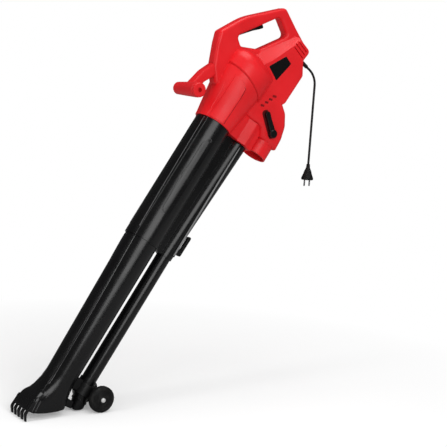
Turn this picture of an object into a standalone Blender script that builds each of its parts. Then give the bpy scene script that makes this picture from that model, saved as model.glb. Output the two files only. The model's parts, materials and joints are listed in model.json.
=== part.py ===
"""Electric leaf blower vacuum, leaning on the rake teeth of its nozzle and on two small wheels.

Everything is laid out in the machine's own frame: x runs up along the suction tube's axis, y across
the machine (its left side is -y) and z away from that axis towards the handles. An empty at the end
leans this frame over so that the teeth and the wheels touch the floor. Sizes are in metres.
"""
import math

import bmesh
import bpy
from mathutils import Matrix, Vector

# General clearances
GAP = 0.0003                 # between pieces that touch
RUNNING_GAP = 0.0006         # between pieces that turn in one another
FINE_STEPS = 32              # sides of the large round forms
ROUND_STEPS = 20             # sides of middling round forms
SMALL_STEPS = 12             # sides of shafts and small round forms

# Twin upper tube
SUCTION_RADIUS = 0.0515
TUBE_WALL = 0.0026
UPPER_TUBE_FOOT = 0.450      # where the upper tube's lower end lies along the axis
TUBE_SOCKET_DEPTH = 0.024    # how far the upper tube reaches into the housing
BLOW_FOOT_RADIUS = 0.0238
BLOW_HEAD_RADIUS = 0.0270
BLOW_FOOT_DROP = 0.088       # blow channel's axis below the suction axis, at the foot
BLOW_HEAD_DROP = 0.1035      # and where it enters the housing
NECK_HALF_WIDTH = 0.012      # web between the two channels
SPINE_ANGLE = 33.0           # half angle of the flat raised spine on the suction tube, degrees
SPINE_RISE = 0.0010
PANEL_FOOT = 0.540           # raised stadium panel on each side of the upper tube
PANEL_HEAD = 0.775
PANEL_WIDTH = 0.030
PANEL_HEIGHT = 0.010         # its middle above the suction axis
PANEL_RISE = 0.0014

# Lower suction tube and nozzle boot
SLEEVE_DEPTH = 0.048         # how far the lower tubes slide into the upper one
LOWER_FOOT_RADIUS = 0.0425
LOWER_FOOT = 0.030
LOWER_FOOT_DROP = 0.008
MOUTH_HALF_WIDTH = 0.047
MOUTH_TOE = -0.093           # furthest reach of the mouth's front lip along the axis
MOUTH_TOE_HEIGHT = 0.0495
TOOTH_COUNT = 5
TOOTH_LENGTH = 0.0265
TOOTH_WIDTH = 0.0085
TOOTH_THICKNESS = 0.0045
TOOTH_SPREAD = 0.083         # between the middles of the outermost teeth
TOOTH_SLANT = 25.6           # teeth point this far inwards of the tube's axis, degrees

# Lower blow tube and its nozzle
LOWER_BLOW_RADIUS = 0.0210
BLOW_WALL = 0.0020
LOWER_BLOW_FOOT = 0.034
NOZZLE_HEAD = 0.060
NOZZLE_RADIUS = 0.0238
NOZZLE_TIP_RADIUS = 0.0175
NOZZLE_TIP = -0.030
NOZZLE_TIP_DROP = 0.101
NOZZLE_CLEARANCE = 0.003     # height of its cut mouth above the floor

# Wheels
WHEEL_RADIUS = 0.0360
WHEEL_WIDTH = 0.018
WHEEL_INNER = 0.0395         # inner face from the middle plane
WHEEL_ALONG = 0.0312
WHEEL_DROP = 0.1248
AXLE_RADIUS = 0.0040
CAP_RADIUS = 0.0062
CAP_LENGTH = 0.0060

# Housing: its places along the axis count from the collar, its front face
COLLAR = 0.835
COLLAR_RADIUS = 0.0555
CONE_LENGTH = 0.134          # the inlet cone reaches this far behind the collar
CONE_RADIUS = 0.0752
SCROLL_FRONT = 0.141         # the fan's scroll: its front and back edges at the height of the axis
SCROLL_BACK = 0.203
SCROLL_RADIUS = 0.078
SCROLL_LEAN = 0.30           # its front edge lies further back by this share of the height
SCROLL_GROOVE = 0.0022
HANDLE_HALF_WIDTH = 0.019
HANDLE_EDGE = 0.0095
BLOCK_HALF_WIDTH = 0.042
BLOCK_EDGE = 0.012
RIDGE = (0.255, 0.0080, -0.65)    # the block's top: behind the collar, height, fall per metre behind
CREASE = (0.236, -0.0196, -0.50)  # the edge where its slanted flanks meet its sides
PLENUM_HALF_WIDTH = 0.044
PLENUM_EDGE = 0.014
DUCT_HALF_WIDTH = 0.031
DUCT_BOTTOM = -0.1345
PORT_RADIUS = 0.0372
PORT_WALL = 0.0040
PORT_DROP = 0.1690
PORT_MOUTH = COLLAR + 0.011
CONE_PANEL_RISE = 0.0026     # raised panel on each side of the inlet cone

# Fan and motor
IMPELLER_FRONT = COLLAR + 0.088
IMPELLER_LENGTH = 0.043
IMPELLER_BACK = IMPELLER_FRONT + IMPELLER_LENGTH
IMPELLER_RADIUS = 0.0585
FAN_CHAMBER_RADIUS = 0.0670
BLADE_COUNT = 8
BLADE_THICKNESS = 0.0024
BLADE_SWEEP = 38.0           # degrees that a blade trails from hub to rim
PLATE_FRONT = IMPELLER_BACK + 0.0195
PLATE_THICKNESS = 0.005
SHAFT_RADIUS = 0.0040
ARMATURE_SLOTS = 12
STATOR_RADIUS = 0.0300
STATOR_BORE = 0.0185
STATOR_FRONT = PLATE_FRONT + 0.0230
STATOR_LENGTH = 0.032
WINDING_LENGTH = 0.009
COMMUTATOR_FRONT = STATOR_FRONT + STATOR_LENGTH + 0.0115
COMMUTATOR_LENGTH = 0.012
COMMUTATOR_RADIUS = 0.011
BRUSH_REACH = 0.0233
REAR_BEARING_FRONT = COMMUTATOR_FRONT + COMMUTATOR_LENGTH + 0.0025
REAR_BEARING_LENGTH = 0.006
REAR_BEARING_RADIUS = 0.0085
FRONT_BEARING_RADIUS = 0.011
FRONT_BEARING_LENGTH = 0.007

# Diverter and its lever
DIVERTER_ALONG = COLLAR + 0.0815
DIVERTER_DROP = 0.157
LEVER_ANGLE = 56.0           # the lever points this far from the axis, degrees
FLAP_ANGLE = 59.5
FLAP_REACH = 0.055
FLAP_THICKNESS = 0.003
FLAP_HALF_WIDTH = 0.038
LEVER_REACH = 0.068
LEVER_WIDTH = 0.0185
LEVER_HUB_RADIUS = 0.0125
LEVER_THICKNESS = 0.009

# Trigger under the hand loop
TRIGGER_LENGTH = 0.088
TRIGGER_HALF_WIDTH = 0.0068
TRIGGER_PIN_RADIUS = 0.0020
PIN_HALF_LENGTH = 0.011
SPRING_WIRE_RADIUS = 0.0004
SPRING_COIL_RADIUS = 0.0034
SPRING_TURNS = 3
SPRING_HALF_WIDTH = 0.0022

# Cross handle
GRIP_ALONG = COLLAR + 0.031
GRIP_HEIGHT = 0.127
GRIP_NEAR_RADIUS = 0.0210
GRIP_FAR_RADIUS = 0.0175
GRIP_NEAR = -0.060
GRIP_FAR = 0.053
ARM_HALF_WIDTH = 0.0165

# Cord
CORD_RADIUS = 0.0034
RELIEF_ALONG = COLLAR + 0.325
RELIEF_DROP = 0.131          # where it comes out of the housing's underside
RELIEF_LENGTH = 0.040
CORD_LENGTH = 0.300
PIN_RADIUS = 0.0024

PARTS = None
CUTTERS = None


def clear_scene():
    for obj in list(bpy.data.objects):
        bpy.data.objects.remove(obj, do_unlink=True)


def make_collection(title):
    collection = bpy.data.collections.new(title)
    bpy.context.scene.collection.children.link(collection)
    return collection


def material(title, colour, roughness, metallic=0.0):
    made = bpy.data.materials.new(title)
    made.use_nodes = True
    shader = made.node_tree.nodes["Principled BSDF"]
    shader.inputs["Base Color"].default_value = (*colour, 1.0)
    shader.inputs["Roughness"].default_value = roughness
    shader.inputs["Metallic"].default_value = metallic
    made.diffuse_color = (*colour, 1.0)
    return made


def evaluated_mesh(obj, orient=True):
    """The object's mesh after its modifiers or as its curve draws it, welded, with its faces pointing out."""
    bpy.context.view_layer.update()
    graph = bpy.context.evaluated_depsgraph_get()
    mesh = bpy.data.meshes.new_from_object(obj.evaluated_get(graph))
    mesh.transform(obj.matrix_world)
    bm = bmesh.new()
    bm.from_mesh(mesh)
    bmesh.ops.remove_doubles(bm, verts=bm.verts, dist=2e-6)
    if orient:
        bmesh.ops.recalc_face_normals(bm, faces=bm.faces)
    if bm.calc_volume(signed=True) < 0:
        bmesh.ops.reverse_faces(bm, faces=bm.faces)
    bm.to_mesh(mesh)
    bm.free()
    return mesh


def solid(title, source):
    """Replaces a modelled object by the plain mesh of its final shape, placed in the machine's frame."""
    mesh = evaluated_mesh(source)
    bpy.data.objects.remove(source, do_unlink=True)
    obj = bpy.data.objects.new(title, mesh)
    CUTTERS.objects.link(obj)
    obj.hide_render = True
    obj.display_type = "WIRE"
    return obj


def linked(title, data):
    obj = bpy.data.objects.new(title, data)
    CUTTERS.objects.link(obj)
    return obj


# An axis runs along the machine (x) or across it (y).
ALONG = Matrix.Rotation(math.radians(90), 4, "Y")
ACROSS = Matrix.Rotation(math.radians(-90), 4, "X")


def turned(title, profile, centre=(0, 0, 0), axis=ALONG, steps=ROUND_STEPS):
    """A turned solid. The profile lists (distance along the axis, radius) and closes on itself or on the axis."""
    bm = bmesh.new()
    verts = [bm.verts.new((radius, 0, along)) for along, radius in profile]
    for first, second in zip(verts, verts[1:]):
        bm.edges.new((first, second))
    if profile[0][1] > 0 or profile[-1][1] > 0:
        bm.edges.new((verts[-1], verts[0]))
    mesh = bpy.data.meshes.new(title)
    bm.to_mesh(mesh)
    bm.free()
    obj = linked(title, mesh)
    screw = obj.modifiers.new("Turn", "SCREW")
    screw.steps = screw.render_steps = steps
    screw.use_merge_vertices = True
    screw.merge_threshold = 0.00001
    obj.matrix_world = Matrix.Translation(centre) @ axis
    return solid(title, obj)


def rod(title, start, end, radius, centre=(0, 0, 0), axis=ALONG, steps=SMALL_STEPS):
    return turned(title, [(start, 0), (start, radius), (end, radius), (end, 0)], centre, axis, steps)


def tube(title, start, end, outer, inner, centre=(0, 0, 0), axis=ALONG, steps=SMALL_STEPS):
    return turned(title, [(start, inner), (start, outer), (end, outer), (end, inner)], centre, axis, steps)


def rounded(corners, steps=5, least=0.0):
    """The points of an outline whose corners (along, height, radius) are rounded with arcs."""
    points = []
    count = len(corners)
    for index, (x, z, radius) in enumerate(corners):
        here = Vector((x, z))
        back = Vector(corners[index - 1][:2]) - here
        ahead = Vector(corners[(index + 1) % count][:2]) - here
        half = back.angle(ahead) / 2
        if radius <= 0 or half > math.radians(88):
            points.append(here)
            continue
        radius = max(radius, least)
        reach = min(radius / math.tan(half), 0.48 * back.length, 0.48 * ahead.length)
        fitted = reach * math.tan(half)
        middle = here + (back.normalized() + ahead.normalized()).normalized() * fitted / math.sin(half)
        first = here + back.normalized() * reach - middle
        last = here + ahead.normalized() * reach - middle
        turn = first.angle_signed(last)
        for step in range(steps + 1):
            points.append(middle + Matrix.Rotation(-turn * step / steps, 2) @ first)
    return points


def turning(points):
    """Twice the area inside an outline, positive where it runs anticlockwise."""
    return sum(a.x * b.y - b.x * a.y for a, b in zip(points, points[1:] + points[:1]))


def prism(title, outlines, half_width, edge=0.0, middle=0.0, grow=0.0, edge_steps=1, corner_steps=3):
    """An outline in the side view, with any holes in it, drawn out across the machine with rounded edges."""
    curve = bpy.data.curves.new(title, "CURVE")
    curve.dimensions = "2D"
    curve.fill_mode = "BOTH"
    curve.extrude = half_width - edge
    curve.bevel_depth = edge
    curve.bevel_resolution = edge_steps
    curve.offset = grow - edge
    for number, corners in enumerate(outlines):
        points = rounded(corners, corner_steps, 1.15 * edge)
        # The outline runs clockwise and its holes the other way, so that every edge rounds off outwards.
        if (turning(points) > 0) == (number == 0):
            points.reverse()
        spline = curve.splines.new("POLY")
        spline.points.add(len(points) - 1)
        for point, place in zip(spline.points, points):
            point.co = (place.x, place.y, 0, 1)
        spline.use_cyclic_u = True
    obj = linked(title, curve)
    obj.matrix_world = Matrix.Translation((0, middle, 0)) @ Matrix.Rotation(math.radians(90), 4, "X")
    return solid(title, obj)


def box(title, low, high, edge=0.0, segments=2):
    low, high = Vector(low), Vector(high)
    bm = bmesh.new()
    bmesh.ops.create_cube(bm, size=1)
    size = high - low
    bmesh.ops.scale(bm, vec=size, verts=bm.verts)
    bmesh.ops.translate(bm, vec=(low + high) / 2, verts=bm.verts)
    mesh = bpy.data.meshes.new(title)
    bm.to_mesh(mesh)
    bm.free()
    obj = linked(title, mesh)
    if edge > 0:
        bevel = obj.modifiers.new("Edges", "BEVEL")
        bevel.width = edge
        bevel.segments = segments
        bevel.limit_method = "NONE"
    return solid(title, obj)


def loft(title, rings):
    """A closed skin through rings of equally many points, each listed the same way round."""
    bm = bmesh.new()
    rows = [[bm.verts.new(point) for point in ring] for ring in rings]
    count = len(rows[0])
    for lower, upper in zip(rows, rows[1:]):
        for index in range(count):
            after = (index + 1) % count
            bm.faces.new((lower[index], lower[after], upper[after], upper[index]))
    bm.faces.new(reversed(rows[0]))
    bm.faces.new(rows[-1])
    mesh = bpy.data.meshes.new(title)
    bm.to_mesh(mesh)
    bm.free()
    return solid(title, linked(title, mesh))


def closed_loft(title, rings):
    """A ring-shaped skin: the last ring joins the first."""
    bm = bmesh.new()
    rows = [[bm.verts.new(point) for point in ring] for ring in rings]
    count = len(rows[0])
    for lower, upper in zip(rows, rows[1:] + rows[:1]):
        for index in range(count):
            after = (index + 1) % count
            bm.faces.new((lower[index], lower[after], upper[after], upper[index]))
    mesh = bpy.data.meshes.new(title)
    bm.to_mesh(mesh)
    bm.free()
    return solid(title, linked(title, mesh))


def in_triangles(mesh):
    bm = bmesh.new()
    bm.from_mesh(mesh)
    bmesh.ops.triangulate(bm, faces=bm.faces)
    bm.to_mesh(mesh)
    bm.free()


def flat_faces_joined(mesh):
    """Joins the triangles of each flat face again."""
    bm = bmesh.new()
    bm.from_mesh(mesh)
    bmesh.ops.dissolve_limit(bm, angle_limit=math.radians(0.05), verts=bm.verts, edges=bm.edges)
    bm.to_mesh(mesh)
    bm.free()


def boolean(target, other, operation):
    in_triangles(target.data)
    in_triangles(other.data)
    modifier = target.modifiers.new(operation, "BOOLEAN")
    modifier.operation = operation
    modifier.solver = "EXACT"
    modifier.object = other
    mesh = evaluated_mesh(target, orient=False)
    target.modifiers.clear()
    target.data = mesh
    bpy.data.objects.remove(other, do_unlink=True)
    return target


def together(title, parts):
    """One object of several solids that don't touch, for a single Boolean."""
    bm = bmesh.new()
    for part in parts:
        bm.from_mesh(part.data)
        bpy.data.objects.remove(part, do_unlink=True)
    mesh = bpy.data.meshes.new(title)
    bm.to_mesh(mesh)
    bm.free()
    return linked(title, mesh)


def cut(target, *others):
    for other in others:
        boolean(target, other, "DIFFERENCE")
    return target


def join(target, *others):
    for other in others:
        boolean(target, other, "UNION")
    return target


def common(target, other):
    return boolean(target, other, "INTERSECT")


def copy_of(source, title):
    twin = bpy.data.objects.new(title, source.data.copy())
    CUTTERS.objects.link(twin)
    twin.hide_render = True
    return twin


def piece(obj, title, finish, origin=(0, 0, 0), smooth=32.0):
    """Makes a solid a named part, with its origin where it turns or is fixed."""
    obj.name = title
    CUTTERS.objects.unlink(obj)
    PARTS.objects.link(obj)
    obj.hide_render = False
    obj.display_type = "TEXTURED"
    obj.data.name = title
    flat_faces_joined(obj.data)
    obj.data.transform(Matrix.Translation(-Vector(origin)))
    obj.location = origin
    obj.data.materials.clear()
    obj.data.materials.append(finish)
    obj.data.shade_smooth()
    obj.data.set_sharp_from_angle(angle=math.radians(smooth))
    return obj


def circle(centre_height, radius, along, steps=ROUND_STEPS):
    turn = math.tau / steps
    return [
        (along, radius * math.sin(i * turn), centre_height + radius * math.cos(i * turn))
        for i in range(steps)
    ]


# Floor line: the teeth and the wheels decide how far the machine leans.
def tooth_tip():
    slant = math.radians(TOOTH_SLANT)
    return MOUTH_TOE - TOOTH_LENGTH * math.cos(slant), MOUTH_TOE_HEIGHT - TOOTH_LENGTH * math.sin(slant)


def lean_angle():
    tip_along, tip_height = tooth_tip()
    run, fall = WHEEL_ALONG - tip_along, -WHEEL_DROP - tip_height
    return math.asin(WHEEL_RADIUS / math.hypot(run, fall)) - math.atan2(fall, run)


def floor_cutter(title, clearance):
    """Everything lower than the given height above the floor."""
    lean = lean_angle()
    reach = 0.5
    deep = box(title, (-reach, -reach, -reach), (reach, reach, 0))
    tip_along, tip_height = tooth_tip()
    foot = Vector((tip_along, 0, tip_height)) + clearance * Vector((math.sin(lean), 0, math.cos(lean)))
    deep.matrix_world = Matrix.Translation(foot) @ Matrix.Rotation(lean, 4, "Y")
    return solid(title, deep)


# Tubes
def blow_head(along):
    """Drop and radius of the upper blow channel at a place along the tube."""
    share = (along - UPPER_TUBE_FOOT) / (COLLAR - UPPER_TUBE_FOOT)
    drop = BLOW_FOOT_DROP + share * (BLOW_HEAD_DROP - BLOW_FOOT_DROP)
    radius = BLOW_FOOT_RADIUS + share * (BLOW_HEAD_RADIUS - BLOW_FOOT_RADIUS)
    return drop, radius


def spined_arc(radius, angle_from, angle_to, steps, grow=0.0, height=0.0):
    """Points (across, height) of a round tube's side with the raised spine on its top."""
    edge = math.radians(SPINE_ANGLE)
    angles = [edge * i / 3 for i in range(4)]
    rims = [radius + SPINE_RISE + grow] * 4
    rest = [edge + math.radians(1.5) + (angle_to - edge - math.radians(1.5)) * i / steps for i in range(steps + 1)]
    angles += rest
    rims += [radius + grow] * len(rest)
    return [
        (rim * math.sin(angle), height + rim * math.cos(angle))
        for angle, rim in zip(angles, rims)
        if angle >= angle_from - 1e-9
    ]


def closed_ring(along, side):
    """A whole ring from its left half, listed from the top to the bottom."""
    near = [(along, -across, height) for across, height in side]
    far = [(along, across, height) for across, height in reversed(side)]
    inner = [point for point in far if abs(point[1]) > 1e-7]
    return near + inner


def twin_ring(along, grow=0.0):
    drop, blow_radius = blow_head(along)
    neck = NECK_HALF_WIDTH + grow
    suction_end = math.pi - math.asin(neck / (SUCTION_RADIUS + grow))
    side = spined_arc(SUCTION_RADIUS, 0, suction_end, 13, grow)
    blow = blow_radius + grow
    start = math.asin(neck / blow)
    steps = 9
    for step in range(steps + 1):
        angle = start + (math.pi - start) * step / steps
        side.append((blow * math.sin(angle), -drop + blow * math.cos(angle)))
    return closed_ring(along, side)


def side_panel(side):
    """The raised stadium on one side of the upper suction channel."""
    low, high = PANEL_HEIGHT - PANEL_WIDTH / 2, PANEL_HEIGHT + PANEL_WIDTH / 2
    half = PANEL_WIDTH / 2
    outline = [(PANEL_FOOT, low, half), (PANEL_HEAD, low, half), (PANEL_HEAD, high, half), (PANEL_FOOT, high, half)]
    reach = SUCTION_RADIUS / 2
    pad = prism("panel", [outline], reach / 2 + 0.01, middle=side * (SUCTION_RADIUS - 0.01))
    skin = tube("skin", PANEL_FOOT - 0.02, PANEL_HEAD + 0.02, SUCTION_RADIUS + PANEL_RISE,
                SUCTION_RADIUS - TUBE_WALL / 2, steps=FINE_STEPS)
    return common(pad, skin)


def upper_tube(finish):
    head = COLLAR + TUBE_SOCKET_DEPTH
    stations = (UPPER_TUBE_FOOT, COLLAR - 0.001, head)
    body = loft("upper", [twin_ring(along) for along in stations])
    join(body, side_panel(-1), side_panel(1))
    over = 0.01
    bore = rod("bore", UPPER_TUBE_FOOT - over, head + over, SUCTION_RADIUS - TUBE_WALL, steps=FINE_STEPS)
    socket_end = UPPER_TUBE_FOOT + SLEEVE_DEPTH
    socket_radius = LOWER_BLOW_RADIUS + GAP
    drop, radius = blow_head(head)
    blow = loft("blow", [
        circle(-BLOW_FOOT_DROP, socket_radius, UPPER_TUBE_FOOT - over),
        circle(-BLOW_FOOT_DROP, socket_radius, socket_end),
        circle(-drop, radius - BLOW_WALL, head + over / 10),
    ])
    return piece(cut(body, bore, blow), "upper_tube", finish)


def boot_rings(grow=0.0, inner=False):
    """Sections of the lower suction tube from its sleeve down to the wide mouth."""
    wall = TUBE_WALL if inner else 0.0
    sleeve_radius = SUCTION_RADIUS - TUBE_WALL - GAP
    over = 0.01 if inner else 0.0
    rings = []
    head = UPPER_TUBE_FOOT + SLEEVE_DEPTH + over
    # Each section: along, half width, top, bottom, how square it is, whether the spine runs over it.
    shapes = [
        (head, sleeve_radius, sleeve_radius, -sleeve_radius, 0.0, False),
        (UPPER_TUBE_FOOT - 0.0005, sleeve_radius, sleeve_radius, -sleeve_radius, 0.0, False),
        (UPPER_TUBE_FOOT - 0.0025, sleeve_radius - 0.0006, sleeve_radius - 0.0006, 0.0006 - sleeve_radius, 0.0, True),
        (LOWER_FOOT, LOWER_FOOT_RADIUS, LOWER_FOOT_RADIUS - LOWER_FOOT_DROP,
         -LOWER_FOOT_RADIUS - LOWER_FOOT_DROP, 0.0, True),
        (0.004, 0.0427, 0.0355, -0.0515, 0.15, True),
        (-0.018, 0.0435, 0.0380, -0.0535, 0.45, True),
        (-0.038, 0.0447, 0.0428, -0.0550, 0.72, True),
        (-0.058, 0.0460, 0.0468, -0.0555, 0.90, True),
        (-0.078, MOUTH_HALF_WIDTH, MOUTH_TOE_HEIGHT - 0.0010, -0.0555, 1.0, True),
        (MOUTH_TOE - over, MOUTH_HALF_WIDTH, MOUTH_TOE_HEIGHT, -0.0555, 1.0, True),
    ]
    for along, half, top, bottom, square, spined in shapes:
        middle = (top + bottom) / 2
        tall = (top - bottom) / 2 - wall + grow
        wide = half - wall + grow
        side = []
        edge = math.radians(SPINE_ANGLE)
        angles = [edge * i / 3 for i in range(4)]
        first = edge + math.radians(1.5)
        angles += [first + (math.pi - first) * i / 11 for i in range(12)]
        for index, angle in enumerate(angles):
            power = 1 - 0.62 * square
            across = math.copysign(abs(math.sin(angle)) ** power, math.sin(angle)) * wide
            height = math.copysign(abs(math.cos(angle)) ** power, math.cos(angle)) * tall
            raised = spined and not inner and index < 4 and along > -0.02
            rise = SPINE_RISE if raised else 0.0
            side.append((across + rise * math.sin(angle), middle + height + rise * math.cos(angle)))
        side[-1] = (0.0, side[-1][1])
        rings.append(closed_ring(along, side))
    return rings


def floor_point(along, height):
    """Machine coordinates of a place given by its distance behind the teeth and its height above the floor."""
    lean = lean_angle()
    tip_along, tip_height = tooth_tip()
    return (tip_along + along * math.cos(lean) + height * math.sin(lean),
            tip_height - along * math.sin(lean) + height * math.cos(lean))


def rake_teeth():
    """Five claws that carry on from the mouth's front lip and bend down to the floor."""
    tip_along, tip_height = tooth_tip()
    lip = MOUTH_TOE_HEIGHT
    outline = [
        (MOUTH_TOE + 0.030, lip - 0.0005, 0.0), (MOUTH_TOE - 0.010, lip + 0.0010, 0.012),
        (tip_along, tip_height, 0.0008), (tip_along + 0.0016, tip_height - 0.0030, 0.0008),
        (MOUTH_TOE - 0.008, lip - TOOTH_THICKNESS, 0.010), (MOUTH_TOE + 0.030, lip - TOOTH_THICKNESS + 0.0010, 0.0),
    ]
    claws = []
    for number in range(TOOTH_COUNT):
        across = TOOTH_SPREAD * (number / (TOOTH_COUNT - 1) - 0.5)
        claws.append(prism("tooth", [outline], TOOTH_WIDTH / 2, middle=across))
    return claws


# Lower edge of the nozzle's side walls, as (distance behind the teeth, height above the floor)
MOUTH_EDGE = [
    (-0.060, 0.060), (0.004, 0.0275), (0.017, 0.0215), (0.034, 0.0180), (0.055, 0.0160), (0.077, 0.0160),
    (0.100, 0.0170), (0.160, 0.0175), (0.160, -0.100), (-0.060, -0.100),
]


def mouth_cutter():
    return prism("mouth", [[(*floor_point(along, height), 0.0) for along, height in MOUTH_EDGE]], 0.2)


def heel_rib():
    """The short rib that steadies the blow nozzle behind the boot."""
    rib = prism("rib", [[
        (-0.012, -0.0512, 0.0), (-0.012, -0.092, 0.0), (-0.030, -0.092, 0.0), (-0.0345, -0.0530, 0.0),
    ]], 0.008)
    return cut(rib, nozzle_skin("nozzle", GAP, 0.01))


def lower_suction_tube(finish):
    body = loft("lower", boot_rings())
    hollow = loft("hollow", boot_rings(inner=True))
    cut(body, hollow, mouth_cutter())
    join(body, heel_rib(), *rake_teeth())
    return piece(body, "lower_suction_tube", finish)


def lower_blow_tube(finish):
    head = UPPER_TUBE_FOOT + SLEEVE_DEPTH - GAP
    body = tube("pipe", LOWER_BLOW_FOOT, head, LOWER_BLOW_RADIUS, LOWER_BLOW_RADIUS - BLOW_WALL,
                (0, 0, -BLOW_FOOT_DROP), steps=ROUND_STEPS)
    return piece(body, "lower_blow_tube", finish)


def nozzle_skin(title, grow=0.0, over=0.0):
    """Outer form of the blow nozzle: a sleeve, then a cone that dips towards the floor."""
    ring_drop = BLOW_FOOT_DROP + 0.0085
    bands = [
        (NOZZLE_HEAD + over, BLOW_FOOT_DROP, NOZZLE_RADIUS),
        (0.024, BLOW_FOOT_DROP, NOZZLE_RADIUS),
        (0.002, ring_drop - 0.0015, 0.0218),
        (0.0015, ring_drop - 0.0014, 0.0228),
        (-0.0035, ring_drop - 0.0004, 0.0226),
        (-0.004, ring_drop - 0.0003, 0.0206),
        (NOZZLE_TIP - over, NOZZLE_TIP_DROP, NOZZLE_TIP_RADIUS),
    ]
    return loft(title, [circle(-drop, radius + grow, along) for along, drop, radius in bands])


def blow_nozzle(finish):
    body = nozzle_skin("nozzle")
    socket_radius = LOWER_BLOW_RADIUS + GAP
    over = 0.01
    bore = loft("bore", [
        circle(-BLOW_FOOT_DROP, socket_radius, NOZZLE_HEAD + over),
        circle(-BLOW_FOOT_DROP, socket_radius, LOWER_BLOW_FOOT - GAP),
        circle(-BLOW_FOOT_DROP, LOWER_BLOW_RADIUS - BLOW_WALL, LOWER_BLOW_FOOT - 2 * GAP),
        circle(-NOZZLE_TIP_DROP, NOZZLE_TIP_RADIUS - BLOW_WALL, NOZZLE_TIP - over),
    ])
    cut(body, bore, floor_cutter("floor", NOZZLE_CLEARANCE))
    return piece(body, "blow_nozzle", finish)


def wheel_bracket(finish):
    """A ring round the blow nozzle, the bridge up to the suction tube and the arms down to the axle."""
    foot, head = 0.014, 0.046
    ring_radius = NOZZLE_RADIUS + 0.004
    body = rod("ring", foot, head, ring_radius, (0, 0, -BLOW_FOOT_DROP - 0.002), steps=ROUND_STEPS)
    bridge = box("bridge", (foot + 0.004, -0.013, -BLOW_FOOT_DROP), (head + 0.004, 0.013, -0.045), 0.002)
    axle_boss = rod("boss", GAP - WHEEL_INNER, WHEEL_INNER - GAP, 0.0095,
                    (WHEEL_ALONG, 0, -WHEEL_DROP), ACROSS, ROUND_STEPS)
    arm = prism("arm", [[
        (head - 0.001, -BLOW_FOOT_DROP - 0.010, 0.0),
        (head + 0.006, -BLOW_FOOT_DROP - NOZZLE_RADIUS + 0.004, 0.002),
        (WHEEL_ALONG + 0.008, -WHEEL_DROP - 0.0090, 0.009),
        (WHEEL_ALONG - 0.009, -WHEEL_DROP - 0.0085, 0.009),
        (foot - 0.001, -BLOW_FOOT_DROP - NOZZLE_RADIUS + 0.004, 0.002),
        (foot + 0.001, -BLOW_FOOT_DROP - 0.010, 0.0),
    ]], 0.021, 0.003)
    join(body, bridge, axle_boss, arm)
    tube_skin = loft("skin", boot_rings(grow=GAP))
    axle_bore = rod("axle", -0.05, 0.05, AXLE_RADIUS + GAP, (WHEEL_ALONG, 0, -WHEEL_DROP), ACROSS)
    cut(body, nozzle_skin("nozzle", GAP, 0.01), tube_skin, axle_bore)
    return piece(body, "wheel_bracket", finish)


def wheel(title, side, finish):
    """A small moulded wheel with a rounded tread and ribs round its hub, in its own frame."""
    near, far = 0.0, WHEEL_WIDTH
    bore = AXLE_RADIUS + GAP
    profile = [
        (near, bore), (near, 0.0100), (near + 0.0030, 0.0115), (near + 0.0030, 0.0255),
        (near, 0.0275), (near, WHEEL_RADIUS - 0.0030), (near + 0.0030, WHEEL_RADIUS),
        (far - 0.0040, WHEEL_RADIUS), (far - 0.0010, WHEEL_RADIUS - 0.0030), (far, WHEEL_RADIUS - 0.0065),
        (far, 0.0270), (far - 0.0018, 0.0258), (far - 0.0018, 0.0190), (far - 0.0004, 0.0164),
        (far - 0.0018, 0.0138), (far - 0.0018, 0.0100), (far, 0.0088), (far, bore),
    ]
    profile = [(side * (WHEEL_INNER + along), radius) for along, radius in profile]
    centre = (WHEEL_ALONG, 0, -WHEEL_DROP)
    body = turned(title, profile, centre, ACROSS, ROUND_STEPS)
    middle = (WHEEL_ALONG, side * (WHEEL_INNER + WHEEL_WIDTH / 2), -WHEEL_DROP)
    return piece(body, title, finish, middle)


def axle_and_caps(steel, finish):
    centre = (WHEEL_ALONG, 0, -WHEEL_DROP)
    cap_base = WHEEL_INNER + WHEEL_WIDTH + GAP
    end = cap_base + CAP_LENGTH - 0.002
    piece(rod("axle", -end, end, AXLE_RADIUS, centre, ACROSS), "axle", steel, centre)
    for side, title in ((-1, "hub_cap_left"), (1, "hub_cap_right")):
        profile = [
            (cap_base, 0), (cap_base, CAP_RADIUS), (cap_base + 0.003, CAP_RADIUS),
            (cap_base + 0.0048, CAP_RADIUS * 0.75), (cap_base + CAP_LENGTH, CAP_RADIUS * 0.3),
            (cap_base + CAP_LENGTH, 0),
        ]
        body = turned(title, [(side * across, radius) for across, radius in profile], centre, ACROSS)
        cut(body, rod("seat", side * (cap_base - 0.001), side * (end + GAP), AXLE_RADIUS + GAP, centre, ACROSS))
        piece(body, title, finish, (WHEEL_ALONG, side * cap_base, -WHEEL_DROP))


def bag_hook(finish):
    """The finger that the collecting bag's loop hangs on, under the blow channel."""
    foot, head = 0.476, 0.5395
    drop, radius = blow_head(foot)
    surface = -drop - radius
    outline = [
        (foot, surface + 0.006, 0.0), (foot, surface - 0.019, 0.005), (head, surface - 0.020, 0.005),
        (head, surface - 0.011, 0.004), (foot + 0.018, surface - 0.011, 0.003),
        (foot + 0.018, surface - 0.003, 0.002),
        (foot + 0.034, surface - 0.003, 0.001), (foot + 0.034, surface + 0.006, 0.0),
    ]
    body = prism("hook", [outline], 0.0065, 0.0015)
    skin = loft("skin", [twin_ring(along, GAP) for along in (UPPER_TUBE_FOOT, COLLAR)])
    return piece(cut(body, skin), "bag_hook", finish)


# Housing
def behind_collar(corners):
    """Corners (distance behind the collar, height, corner radius) in the machine's frame."""
    return [(COLLAR + behind, height, radius) for behind, height, radius in corners]


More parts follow.
